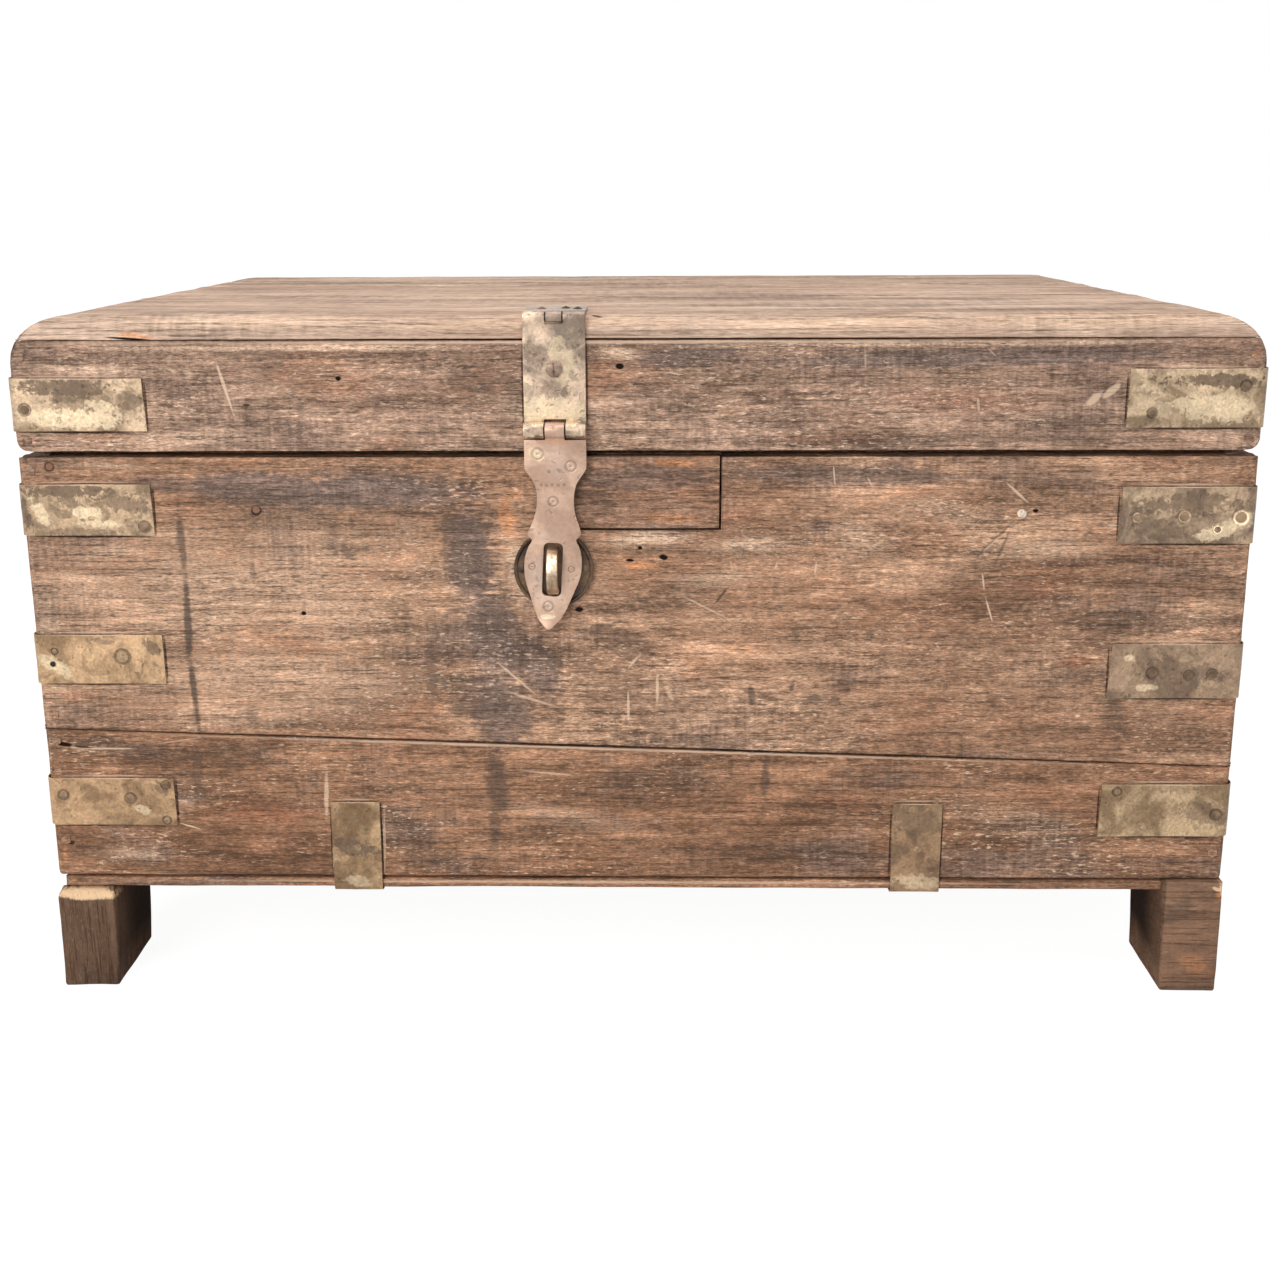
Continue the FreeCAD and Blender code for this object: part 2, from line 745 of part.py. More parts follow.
def hasp_pins():
    pins = []
    for centre, pin in ((hasp_top_centre(), hasp_top_pin), (hasp_low_centre(), hasp_low_pin)):
        start = centre - Vector(hasp_width / 2, 0, 0)
        pins.append(Part.makeCylinder(pin / 2, hasp_width, start, Vector(1, 0, 0)))
    return pins


# The outline of the swinging leaf, right half from the top to the tip, in the plane y = 0
def leaf_outline():
    width = leaf_half_widths
    down = {name: -share * leaf_length for name, share in leaf_shares.items()}

    def at(x, z):
        return Vector(x, 0, z)

    def half(side):
        shoulder = at(side * width["top"], down["shoulder"])
        inset = width["top"] - leaf_chamfer_share * (width["top"] - width["neck"])
        chamfer = at(side * inset, down["chamfer"])
        neck = at(side * width["neck"], down["neck"])
        ear = at(side * width["ear"], down["ear"])
        notch = at(side * width["notch"], down["notch"])
        blade = at(side * width["blade"], down["blade"])
        taper = at(side * (width["tip"] + width["blade"]) / 2, down["taper"])
        tip = at(side * width["tip"], down["tip"])
        end = at(0, -leaf_length)
        neck_curve = Part.BSplineCurve()
        neck_curve.interpolate([chamfer, neck, ear])
        nose = (tip + end) / 2 + at(side * width["tip"] / 8, -width["tip"] / 8)
        return [Part.makeLine(at(side * width["top"], -leaf_top), shoulder),
                Part.makeLine(shoulder, chamfer), neck_curve.toShape(), Part.makeLine(ear, notch),
                Part.Arc(notch, blade, taper).toShape(), Part.makeLine(taper, tip),
                Part.Arc(tip, nose, end).toShape()]

    top = Part.makeLine(at(-width["top"], -leaf_top), at(width["top"], -leaf_top))
    sides = [edge for side in (-1, 1) for edge in half(side)]
    return Part.Wire(Part.__sortEdges__([top] + sides))


# The side view of the swinging leaf: flat, with its tip curled outwards
def leaf_side_view():
    back_y = low_pin_reach - leaf_lift
    face_y = back_y - leaf_thickness
    start = -leaf_length + curl_length
    centre_y = face_y - curl_radius
    inner, outer = curl_radius, curl_radius + leaf_thickness
    turn = math.asin(curl_length / outer)

    def on(radius, angle):
        return Vector(0, centre_y + radius * math.cos(angle), start - radius * math.sin(angle))

    edges = [Part.makeLine(Vector(0, back_y, 0), Vector(0, face_y, 0)),
             Part.makeLine(Vector(0, face_y, 0), on(inner, 0)),
             Part.Arc(on(inner, 0), on(inner, turn / 2), on(inner, turn)).toShape(),
             Part.makeLine(on(inner, turn), on(outer, turn)),
             Part.Arc(on(outer, turn), on(outer, turn / 2), on(outer, 0)).toShape(),
             Part.makeLine(on(outer, 0), Vector(0, back_y, 0))]
    return Part.Face(Part.Wire(edges))


def hasp_leaf():
    middle, sides = hasp_low_spans()
    reach = leaf_length + overrun
    lean = FreeCAD.Rotation(Vector(0, 1, 0), leaf_lean)
    outline = Part.Face(leaf_outline()).extrude(Vector(0, 2 * reach, 0))
    outline.translate(Vector(0, -reach, 0))
    slot = block(-slot_width / 2, slot_width / 2, -reach, reach, -slot_bottom, -slot_top)
    slot = slot.makeFillet(slot_round, [edge for edge in slot.Edges
                                        if math.isclose(edge.Length, 2 * reach, rel_tol=1e-6)])
    shape = outline.cut(slot)
    shape.Placement = FreeCAD.Placement(Vector(0, 0, 0), lean)
    sheet = leaf_side_view().extrude(Vector(2 * reach, 0, 0))
    sheet.translate(Vector(-reach, 0, 0))
    blade = sheet.common(shape)
    x0, x1 = middle[0]
    back_y = low_pin_reach - leaf_lift
    tongue = block(x0, x1, back_y - leaf_thickness, back_y, -leaf_top - leaf_thickness, 0)
    radius = hasp_low_barrel / 2
    leaf = blade.multiFuse([tongue] + barrels(middle, radius, Vector(0, 0, 0))).removeSplitter()
    leaf.translate(hasp_low_centre())
    return leaf.cut(hasp_bores()[1])


# The slotted screw that holds the middle leaf
def hasp_screw():
    face = front - strap_bedding - hasp_leaf_thickness
    return drive_screw(Vector(-hasp_place, face, lid_bottom + hasp_screw_rise), Vector(0, 1, 0))


# The nails that hold the top leaf
def hasp_nails():
    nails, holes = [], []
    centre = hasp_top_centre()
    for across, along in hasp_nail_shares:
        at = Vector(centre.x + (across - 1 / 2) * hasp_width, centre.y + along * hasp_top_length,
                    lid_top + strap_bedding + hasp_leaf_thickness)
        solid, hole = drive_nail(at, Vector(0, 0, -1), hasp_nail_length)
        nails.append(solid)
        holes.append(hole)
    return nails, holes


# Staple and plate

# The side view of the staple: a bow in front of the wood, two legs through the board and
# their tails bent over behind it. Its middle is at z = 0 and the wood's face at y = 0.
def staple_outline(inset):
    radius = staple_radius - inset
    bow = -(staple_reach - staple_radius)
    depth = wall_thickness + strap_bedding
    bottom, top = Vector(0, depth, -radius), Vector(0, depth, radius)
    low, high = Vector(0, bow, -radius), Vector(0, bow, radius)
    edges = [Part.makeLine(top, high), Part.Arc(high, Vector(0, bow - radius, 0), low).toShape(),
             Part.makeLine(low, bottom), Part.makeLine(bottom, top)]
    return Part.Face(Part.Wire(edges)).extrude(Vector(staple_width, 0, 0))


def staple():
    ring = staple_outline(0).cut(staple_outline(staple_thickness))
    y0 = wall_thickness + strap_bedding
    tails = []
    for side in (-1, 1):
        inner = side * (staple_radius - staple_thickness)
        z0, z1 = sorted((inner, side * (staple_radius + staple_clinch)))
        tails.append(block(0, staple_width, y0, y0 + staple_thickness / 2, z0, z1))
    shape = ring.multiFuse(tails).removeSplitter()
    shape.translate(Vector(-staple_place - staple_width / 2, front, staple_height))
    return shape


# Square holes for the staple's legs, through the plate and the front board
def staple_holes():
    holes = []
    c = staple_clearance
    x = -staple_place
    for side in (-1, 1):
        z0, z1 = sorted((side * (staple_radius + c), side * (staple_radius - staple_thickness - c)))
        holes.append(block(x - staple_width / 2 - c, x + staple_width / 2 + c,
                           front - overrun, front + wall_thickness + overrun,
                           staple_height + z0, staple_height + z1))
    return holes


def plate_nails():
    nails, holes = [], []
    for side in (-1, 1):
        at = Vector(-staple_place + side * plate_nail_place,
                    front - strap_bedding - plate_thickness, staple_height)
        solid, hole = drive_nail(at, Vector(0, 1, 0), plate_nail_length)
        nails.append(solid)
        holes.append(hole)
    return nails, holes


# A thin round plate with a raised rim, turned about its middle
def staple_plate(nail_holes):
    crest = plate_radius - plate_rim_width / 2
    foot_of_rim = plate_radius - plate_rim_width
    profile = [Vector(0, 0, 0), Vector(plate_radius, 0, 0), Vector(crest, 0, plate_rim_height),
               Vector(foot_of_rim, 0, plate_thickness), Vector(0, 0, plate_thickness)]
    face = Part.Face(Part.makePolygon(profile + [profile[0]]))
    disc = face.revolve(Vector(0, 0, 0), Vector(0, 0, 1), 360)
    plate = driven(disc, Vector(-staple_place, front - strap_bedding, staple_height), Vector(0, 1, 0))
    return cut_all(plate, staple_holes() + nail_holes)


def group(solids):
    return Part.makeCompound(solids)


def body_parts(hinge):
    parts = {}
    envelope = walls_envelope()
    pegs, peg_holes = carcass_pegs()
    holding_nails, plate_holes = plate_nails()
    feet_nails, feet_holes = foot_nails()
    cuts = peg_holes + plate_holes + hinge["holes"] + staple_holes()
    boards = front_boards(envelope)
    boards["front_patch"] = front_patch(envelope)
    boards.update(back_boards(envelope))
    boards.update(side_boards(envelope))
    for name, board in boards.items():
        parts[name] = cut_all(board, cuts)
    for name, piece in (bottom_boards() | feet()).items():
        parts[name] = cut_all(piece, feet_holes)
    parts["carcass_pegs"] = group(pegs)
    parts["foot_nails"] = group(feet_nails)
    parts.update(body_straps())
    parts.update(base_straps())
    parts["staple_plate"] = staple_plate(plate_holes)
    parts["staple"] = staple()
    parts["hinge_left_body_leaf"], parts["hinge_right_body_leaf"] = hinge["leaves"]
    parts["body_nails"] = group(hinge["nails"] + holding_nails)
    return parts


def lid_parts(hinge):
    parts = {}
    envelope = lid_envelope()
    pegs, peg_holes = lid_pegs()
    screw, screw_hole = hasp_screw()
    nails, nail_holes = hasp_nails()
    cuts = peg_holes + [screw_hole] + nail_holes + hinge["holes"]
    for name, board in (lid_rails(envelope) | lid_top_boards(envelope)).items():
        parts[name] = cut_all(board, cuts)
    parts["lid_pegs"] = group(pegs)
    parts.update(lid_straps())
    parts["hinge_left_lid_leaf"], parts["hinge_right_lid_leaf"] = hinge["leaves"]
    parts["hasp_top_leaf"] = cut_all(hasp_top_leaf(), nail_holes)
    parts["hasp_middle_leaf"] = hasp_middle_leaf().cut(screw_hole)
    parts["hasp_screw"] = screw
    parts["hasp_pins"] = group(hasp_pins())
    parts["lid_nails"] = group(hinge["nails"] + nails)
    return parts


def build():
    hinge = hinges()
    parts = body_parts(hinge["body"]) | lid_parts(hinge["lid"])
    parts["hinge_pins"] = group(hinge["pins"])
    parts["hasp_leaf"] = hasp_leaf()
    return parts


os.makedirs("parts", exist_ok=True)
for name, shape in build().items():
    shape = one_solid(shape)
    shape.exportStep(f"parts/{name}.step")
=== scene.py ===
import math

import bmesh
import bpy
from mathutils import Matrix, Vector


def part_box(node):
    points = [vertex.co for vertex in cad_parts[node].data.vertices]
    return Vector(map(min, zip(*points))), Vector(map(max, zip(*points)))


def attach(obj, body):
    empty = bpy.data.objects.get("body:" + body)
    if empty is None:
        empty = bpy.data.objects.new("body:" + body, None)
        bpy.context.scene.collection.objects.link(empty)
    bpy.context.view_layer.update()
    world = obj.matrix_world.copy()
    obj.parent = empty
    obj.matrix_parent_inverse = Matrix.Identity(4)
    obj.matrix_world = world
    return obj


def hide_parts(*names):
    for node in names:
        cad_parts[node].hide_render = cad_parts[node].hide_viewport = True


# A weathered plank chest with brass straps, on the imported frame. Metres, front facing -Y.

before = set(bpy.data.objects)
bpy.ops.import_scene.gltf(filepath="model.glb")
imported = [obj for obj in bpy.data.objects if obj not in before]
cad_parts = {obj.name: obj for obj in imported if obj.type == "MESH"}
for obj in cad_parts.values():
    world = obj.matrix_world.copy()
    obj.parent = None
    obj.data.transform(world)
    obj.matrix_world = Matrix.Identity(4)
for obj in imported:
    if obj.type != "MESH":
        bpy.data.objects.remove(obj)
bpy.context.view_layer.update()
print("frame loaded:", len(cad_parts), "nodes")


# Shader maths

# one socket of a material, so that sums on masks can be written as sums
class Wire:
    def __init__(self, sheet, socket):
        self.sheet, self.socket = sheet, socket

    def maths(self, operation, first, second):
        return self.sheet.add("ShaderNodeMath", {"operation": operation}, {0: first, 1: second})

    def __add__(self, other):
        return self.maths("ADD", self, other)

    def __sub__(self, other):
        return self.maths("SUBTRACT", self, other)

    def __mul__(self, other):
        return self.maths("MULTIPLY", self, other)

    def larger(self, other):
        return self.maths("MAXIMUM", self, other)

    # 0 below low and 1 above high, with a soft slope; low may be the larger one
    def between(self, low, high):
        return self.sheet.add("ShaderNodeMapRange", {"interpolation_type": "SMOOTHSTEP"},
                              {"Value": self, "From Min": low, "From Max": high})


# the nodes of a new material, or of a world that is handed in
class Sheet:
    def __init__(self, name, world=None):
        self.material = world or bpy.data.materials.new(name)
        self.material.use_nodes = True
        self.tree = self.material.node_tree
        self.shader = self.tree.nodes["Background" if world else "Principled BSDF"]
        self.place = None if world else self.add("ShaderNodeTexCoord", {}, {}, "Object")

    # any node: its type, its settings, the values or links of its sockets, and the output that is used
    def add(self, kind, settings, inputs, output=0):
        node = self.tree.nodes.new(kind)
        for key, value in settings.items():
            setattr(node, key, value)
        for key, value in inputs.items():
            if isinstance(value, Wire):
                self.tree.links.new(value.socket, node.inputs[key])
            else:
                node.inputs[key].default_value = value
        return Wire(self, node.outputs[output])

    def vectors(self, operation, inputs, output="Vector"):
        return self.add("ShaderNodeVectorMath", {"operation": operation}, inputs, output)

    def shade(self, colour, stops):   # lighter or darker by this many doublings
        level = self.add("ShaderNodeMath", {"operation": "POWER"}, {0: 2.0, 1: stops})
        return self.vectors("SCALE", {0: colour, "Scale": level})

    def scaled(self, scale, shift):
        return self.add("ShaderNodeMapping", {}, {"Vector": self.place, "Scale": scale, "Location": shift})

    def noise(self, where, detail, roughness, scale=1.0, warp=0.0):
        return self.add("ShaderNodeTexNoise", {}, {"Vector": where, "Scale": scale, "Detail": detail,
                                                   "Roughness": roughness, "Distortion": warp}, "Fac")

    # distance from a spot's middle, 1 at its rim; the spot is an ellipse turned in the plane of the front
    def spot(self, middle, half, turn=0.0):
        where = self.add("ShaderNodeMapping", {"vector_type": "TEXTURE"},
                         {"Vector": self.place, "Location": middle, "Rotation": (0, turn, 0), "Scale": half})
        return self.vectors("LENGTH", {0: where}, "Value")

    def mix(self, share, first, second):
        return self.add("ShaderNodeMix", {"data_type": "RGBA"}, {0: share, 6: first, 7: second}, 2)

    def finish(self, colour, roughness, height, metallic, depth):
        bump = self.add("ShaderNodeBump", {}, {"Height": height, "Distance": depth, "Strength": 1.0})
        for name, value in (("Base Color", colour), ("Roughness", roughness), ("Metallic", metallic),
                            ("Normal", bump)):
            self.set(name, value)
        return self.material

    def set(self, name, value):
        if isinstance(value, Wire):
            self.tree.links.new(value.socket, self.shader.inputs[name])
        else:
            self.shader.inputs[name].default_value = value


# a colour as it looks on screen, 0 to 255, turned into the linear one that a shader takes
def paint(red, green, blue):
    def linear(value):
        value /= 255
        return value / 12.92 if value <= 0.04045 else ((value + 0.055) / 1.055) ** 2.4
    return (linear(red), linear(green), linear(blue), 1.0)


# a look with some of its values changed; a value of three numbers is a colour as it looks on screen
def varied(look, **changes):
    colours = {key: paint(*value) for key, value in changes.items() if isinstance(value, tuple) and len(value) == 3}
    return {**look, **changes, **colours}


# Marks: places on the front, on wood or metal. Each kind has its colour, amount, softness, how far the grain frays
# its rim, height, and whether it is crisp and lies over the grain.

markLook = {
    "stain": ((92, 76, 66), 0.78, 0.65, 1.4, 0.0, False), "band": ((110, 93, 85), 0.85, 0.5, 1.0, 0.0, False),
    "red": ((150, 96, 72), 0.5, 0.8, 2.0, 0.0, False), "raw": ((204, 140, 96), 0.7, 0.6, 1.8, 0.0, False),
    "pale": ((224, 190, 162), 0.75, 0.9, 2.4, 0.0, False), "bright": ((228, 204, 188), 0.6, 1.0, 0.8, 0.0, False),
    "patina": ((106, 86, 68), 0.85, 0.3, 1.6, -0.3, False), "worn": ((232, 208, 172), 0.8, 0.3, 1.6, 0.3, False),
    "streak": ((74, 64, 58), 0.8, 0.6, 0.8, -0.1, True), "scratch": ((226, 196, 168), 0.8, 0.5, 1.3, -0.2, True),
    # edge, on the next line, is a painted highlight along worn arrises, along the tops of straps and just above them.
    "chip": ((250, 212, 170), 0.95, 0.4, 0.9, 0.2, True), "edge": ((222, 190, 164), 0.75, 0.8, 0.9, 0.2, True),
    # On the next line, the first kind marks real cracks and joints, and also painted shadow along straps, round the
    # hasp and under its knuckles; rim is painted shade in the gap between lid and body.
    "crack": ((30, 20, 15), 1.0, 0.5, 0.3, -1.2, True), "rim": ((54, 40, 32), 0.95, 0.6, 0.5, 0.0, True),
    "hole": ((24, 15, 10), 1.0, 0.4, 0.3, -0.4, True), "head": ((142, 104, 84), 0.9, 0.4, 0.3, 0.0, True),
}
markDepth = {"rim": 0.014, "rest": 0.03}   # how deep a mark reaches behind the front; the rim's painted shade reaches into the gap under the lid


# a mark runs from one point to another: kind, x0, z0, x1, z1, half its width, strength
def addMarks(sheet, marks, frontY, fray):
    masks = {}
    for kind, x0, z0, x1, z1, half, strength in marks:
        soft, stray = markLook[kind][2:4]
        size = (math.hypot(x1 - x0, z1 - z0) / 2 + half, markDepth.get(kind, markDepth["rest"]), half)
        away = sheet.spot(((x0 + x1) / 2, frontY, (z0 + z1) / 2), size, -math.atan2(z1 - z0, x1 - x0))
        mask = (away + fray * stray).between(1.0, 1.0 - soft) * strength
        masks[kind] = masks[kind].larger(mask) if kind in masks else mask
    return masks


def layMarks(sheet, masks, colour, height, crisp):
    for kind, mask in masks.items():
        tint, amount, *_, rise, over = markLook[kind]
        if over == crisp:
            colour = sheet.mix(mask * amount, colour, paint(*tint))
            if rise:
                height = height + mask * rise
    return colour, height


# painted contact shadow, partly dirt, along the lower edge and the end of each strap on the front and down both sides
# of the hasp, and a painted highlight line above each strap
def strapShadowDirtAndHighlight(*nodes):
    marks = []
    for node in nodes:
        low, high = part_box(node)
        if node.startswith("hasp"):
            marks += [("crack", x, low.z, x, 0.536, 0.0010, 0.6) for x in (low.x - 0.0006, high.x + 0.0006)]
            continue
        if node.startswith("base"):
            marks += [("crack", low.x - 0.0004, 0.090, low.x - 0.0004, high.z, 0.0008, 0.7),
                      ("crack", high.x + 0.0005, 0.090, high.x + 0.0005, high.z, 0.0009, 0.8),
                      ("edge", low.x, high.z + 0.0012, high.x, high.z + 0.0012, 0.0010, 0.7)]
            continue
        end = high.x if low.x < 0 else low.x
        out = 0.0006 if low.x < 0 else -0.0006
        marks += [("crack", low.x, low.z - 0.0005, high.x, low.z - 0.0005, 0.0009, 0.85),
                  ("crack", end + out, low.z, end + out, high.z, 0.0009, 0.7),
                  ("edge", low.x, high.z + 0.0012, high.x, high.z + 0.0012, 0.0011, 0.8)]
    return marks


# Wood. grain is the axis that the fibres run along.

woodNoise = (   # repeats per metre along and across the grain, detail, roughness, scale, warp
    (4, 9, 5, 0.65, 1.0, 0.4), (8, 17, 5, 0.65), (13, 34, 4, 0.6), (8, 105, 4, 0.6, 1.0, 0.2), (60, 450, 3, 0.7),
    (250, 1150, 2, 0.7), (130, 220, 4, 0.75), (360, 26, 3, 0.6), (9, 22, 4, 0.65), (20, 620, 1, 0.5),
    (150, 560, 2, 0.6))


def woodMaterial(name, look, marks=(), frontY=0.0):
    sheet = Sheet(name)
    seed = look["seed"]
    raw = sheet.place

    def along(far, near):
        far *= look["stretch"]
        scale = {"x": (far, near, near), "y": (near, far, near), "z": (near, near, far)}[look["grain"]]
        return sheet.scaled(scale, (seed, seed * 1.7, seed * 2.3))

    bend = sheet.noise(along(3.2, 9), 2, 0.5) - 0.5    # the fibres wander up and down
    ways = {"x": (0.0, 0.5, 1.0), "y": (0.5, 0.0, 1.0), "z": (1.0, 1.0, 0.0)}[look["grain"]]
    sheet.place = sheet.vectors("ADD", {0: raw, 1: sheet.vectors("SCALE", {0: ways, "Scale": bend * look["bend"]})})
    tone, hue, clumps, bands, lines, fibre, mottle, across, rough, pores, flecks = [
        sheet.noise(along(far, near), *rest) for far, near, *rest in woodNoise]
    rough = rough.between(0.46, 0.62)
    pores = pores.between(0.60, 0.67)
    flecks = flecks.between(0.58, 0.66) * (rough * 0.85 + 0.15)
    scrapes = (across - 0.5) * hue.between(0.40, 0.62)

    colour = sheet.mix(tone.between(0.36, 0.62), look["brown"], look["tan"])
    colour = sheet.mix(hue.between(0.50, 0.64) * look["greyness"], colour, look["grey"])
    colour = sheet.mix(hue.between(0.46, 0.34) * look["redness"], colour, look["red"])
    fray = (mottle - 0.5) * 0.9 + (lines - 0.5) * 0.6 + (clumps - 0.5) * 0.8
    bent, sheet.place = sheet.place, raw
    masks = addMarks(sheet, marks, frontY, fray)
    sheet.place = bent
    colour, height = layMarks(sheet, masks, colour, bands * 0.6 + lines * 1.0 + fibre * 0.5, False)
    stops = (clumps - 0.5) * look["clumps"] + (bands - 0.5) * 1.9 + (lines - 0.5) * 1.7
    stops = stops + (fibre - 0.5) * 2.6 * look["fibre"] + (mottle - 0.5) * 1.4
    stops = stops * look["contrast"] - pores * 0.45 + flecks * look["flecks"] * 0.7 + scrapes * look["scrapes"]
    colour = sheet.shade(colour, stops)
    colour = sheet.mix(stops.between(-0.25, -1.1) * 0.5, colour, look["deep"])   # the dark grain is greyer
    colour = sheet.mix(flecks * look["flecks"] * 0.45, colour, look["fleck"])
    height = height - pores * 0.6 - flecks * 0.3
    colour, height = layMarks(sheet, masks, colour, height, True)
    if look.get("grime"):   # painted shade: darker on the sides that face the middle of the chest, most at the back
        reach = sheet.vectors("ABSOLUTE", {0: raw})
        reach = sheet.add("ShaderNodeSeparateXYZ", {}, {0: reach}, "X").between(*look["grime"])
        depth = sheet.add("ShaderNodeSeparateXYZ", {}, {0: raw}, "Y").between(frontY + 0.008, frontY + 0.045)
        colour = sheet.mix(reach * (depth * 0.5 + 0.48), colour, paint(34, 23, 16))
    sheet.set("Specular IOR Level", look["shine"])
    return sheet.finish(colour, lines * 0.3 + look["roughness"], height, 0.0, look["relief"])


woodLook = varied({}, grain="x", bend=0.007, grey=(130, 106, 92), red=(158, 116, 90), deep=(92, 72, 60),
                  fleck=(236, 208, 180), greyness=0.75, redness=0.55, contrast=1.35, clumps=1.3, fibre=1.0,
                  flecks=0.9, scrapes=1.6, stretch=1.0, roughness=0.6, shine=0.08, relief=0.0008)


# Metals. Worn brass, the leaf's smoother metal, rubbed steel and black iron differ in their looks alone.

def metalMaterial(name, look, marks=(), frontY=0.0, rings=()):
    sheet = Sheet(name)
    seed = look["seed"]
    place = sheet.scaled((1, 1, 1), (seed, seed * 0.7, seed * 1.3))
    clouds = sheet.noise(place, 5, 0.62, look["clouds"], 0.7)
    blots = sheet.noise(place, 4, 0.62, look["blots"], 0.9)
    crust = sheet.noise(place, 4, 0.7, look["blots"] * 2.6, 0.5)
    grit = sheet.noise(place, 2, 0.6, look["grit"])
    colour = sheet.mix(clouds.between(0.38, 0.62), look["dark"], look["light"])
    tarnish = blots.between(0.53, 0.66) * look["tarnish"]
    colour = sheet.mix(tarnish, colour, look["patina"])
    fray = (clouds - 0.5) * 0.8 + (blots - 0.5) * 0.9 + (crust - 0.5) * 1.1
    masks = addMarks(sheet, marks, frontY, fray)
    colour, height = layMarks(sheet, masks, colour, clouds * 0.6 + blots * 0.5 + grit * 0.3, False)
    stops = (clouds - 0.5) * 1.2 + (blots - 0.5) * 1.8 + (crust - 0.5) * 1.8 + (grit - 0.5) * 1.8
    pits = sheet.noise(place, 1, 0.5, look["grit"] * 0.55).between(0.66, 0.72)
    colour = sheet.shade(colour, stops * look["contrast"] - pits * look["pits"])
    height = height - pits * 0.5
    for x, z, radius in rings:   # struck circles with a dot, and the hollows round nail heads
        away = sheet.spot((x, frontY, z), (radius, 0.03, radius))
        ring = away.between(0.62, 0.80) * away.between(1.12, 0.92) + away.between(0.38, 0.22)
        colour = sheet.shade(colour, ring * look["ringStops"])
        height = height - ring * 1.0
    colour, height = layMarks(sheet, masks, colour, height, True)
    roughness = (clouds - 0.5) * 0.4 + tarnish * 0.12 + look["roughness"]
    return sheet.finish(colour, roughness, height, tarnish * -0.3 + look["metallic"], look["relief"])


strapLook = varied({}, clouds=30.0, blots=75.0, grit=420.0, dark=(142, 118, 92), light=(206, 178, 142),
                   patina=(112, 94, 70), tarnish=0.6, contrast=0.75, pits=0.5, ringStops=-0.9, roughness=0.5,
                   metallic=0.4, relief=0.0007)
haspLook = varied(strapLook, seed=8.0, dark=(140, 122, 106), light=(214, 186, 160), patina=(120, 108, 92),
                  roughness=0.42, metallic=0.5, contrast=0.5)
leafLook = varied(strapLook, seed=14.0, dark=(180, 147, 126), light=(203, 170, 147), patina=(172, 140, 118),
                  tarnish=0.3, contrast=0.28, pits=0.4, roughness=0.42, metallic=0.45, relief=0.0004,
                  ringStops=-0.55)
stapleLook = varied(strapLook, seed=19.0, dark=(146, 122, 100), light=(236, 212, 184), patina=(120, 88, 48),
                    roughness=0.34, metallic=0.85, contrast=0.5, relief=0.0004)
plateLook = varied(strapLook, seed=25.0, dark=(56, 43, 32), light=(98, 76, 56), patina=(44, 34, 25),
                   roughness=0.42, metallic=0.5)
ironLook = varied(strapLook, seed=33.0, dark=(58, 48, 42), light=(92, 78, 68), patina=(88, 60, 44), roughness=0.6,
                  metallic=0.6)
nailLook = varied(ironLook, seed=37.0, light=(120, 98, 78), contrast=0.5)


# Making pieces

def clearSelection():
    if bpy.context.mode != "OBJECT":
        bpy.ops.object.mode_set(mode="OBJECT")
    bpy.ops.object.select_all(action="DESELECT")


def takeUp(piece):   # makes it the one selected, active piece
    clearSelection()
    piece.select_set(True)
    bpy.context.view_layer.objects.active = piece
    return piece


def named(name):
    piece = bpy.context.active_object
    piece.name = name
    piece.data.name = name
    bpy.ops.object.transform_apply(location=True, rotation=True, scale=True)
    return piece


def addBlock(name, low, high):
    clearSelection()
    low, high = Vector(low), Vector(high)
    bpy.ops.mesh.primitive_cube_add(size=1, location=(low + high) / 2, scale=high - low)
    return named(name)


def choose(piece, kind, test):   # into edit mode with the verts, edges or faces that pass the test
    takeUp(piece)
    bpy.ops.object.mode_set(mode="EDIT")
    bpy.ops.mesh.select_mode(type=kind)
    bpy.ops.mesh.select_all(action="DESELECT")
    mesh = bmesh.from_edit_mesh(piece.data)
    parts = {"VERT": mesh.verts, "EDGE": mesh.edges, "FACE": mesh.faces}[kind]
    for part in parts:
        if test(part):
            part.select_set(True)
    mesh.select_flush_mode()
    bmesh.update_edit_mesh(piece.data)


def middle(edge):
    return (edge.verts[0].co + edge.verts[1].co) / 2


def runsAlong(edge, axis):
    run = edge.verts[1].co - edge.verts[0].co
    return abs(run[axis]) > 0.9 * run.length


def leave():
    bpy.ops.object.mode_set(mode="OBJECT")


def bevelEdges(piece, test, offset, segments):
    choose(piece, "EDGE", test)
    bpy.ops.mesh.bevel(offset=offset, segments=segments, affect="EDGES")
    leave()


def roundEdges(piece, axis, radius, segments, test=lambda spot: True):
    bevelEdges(piece, lambda edge: runsAlong(edge, axis) and test(middle(edge)), radius, segments)


def shift(piece, test, step):
    choose(piece, "VERT", test)
    bpy.ops.transform.translate(value=step)
    leave()


def turnParts(piece, test, degrees, centre):   # in the plane of the front
    choose(piece, "VERT", test)
    bpy.ops.transform.rotate(value=math.radians(degrees), orient_axis="Y", center_override=centre)
    leave()


def cutAcross(piece, axis, places):
    choose(piece, "FACE", lambda face: True)
    for place in places:
        at = [0.0, 0.0, 0.0]
        at[axis] = place
        normal = [0.0, 0.0, 0.0]
        normal[axis] = 1.0
        bpy.ops.mesh.select_all(action="SELECT")
        bpy.ops.mesh.bisect(plane_co=at, plane_no=normal)
    leave()


def modify(piece, kind, **settings):
    takeUp(piece)
    modifier = piece.modifiers.new(kind.lower(), kind)
    for key, value in settings.items():
        setattr(modifier, key, value)
    bpy.ops.object.modifier_apply(modifier=modifier.name)


def soften(piece, width, segments=2, degrees=40):   # bevels the edges that are sharper than this
    modify(piece, "BEVEL", width=width, segments=segments, limit_method="ANGLE", angle_limit=math.radians(degrees))


def thicken(piece, sheet, offset=0.0):
    modify(piece, "SOLIDIFY", thickness=sheet, offset=offset)


def carve(piece, tool, operation="DIFFERENCE"):
    modify(piece, "BOOLEAN", operation=operation, object=tool, solver="EXACT")


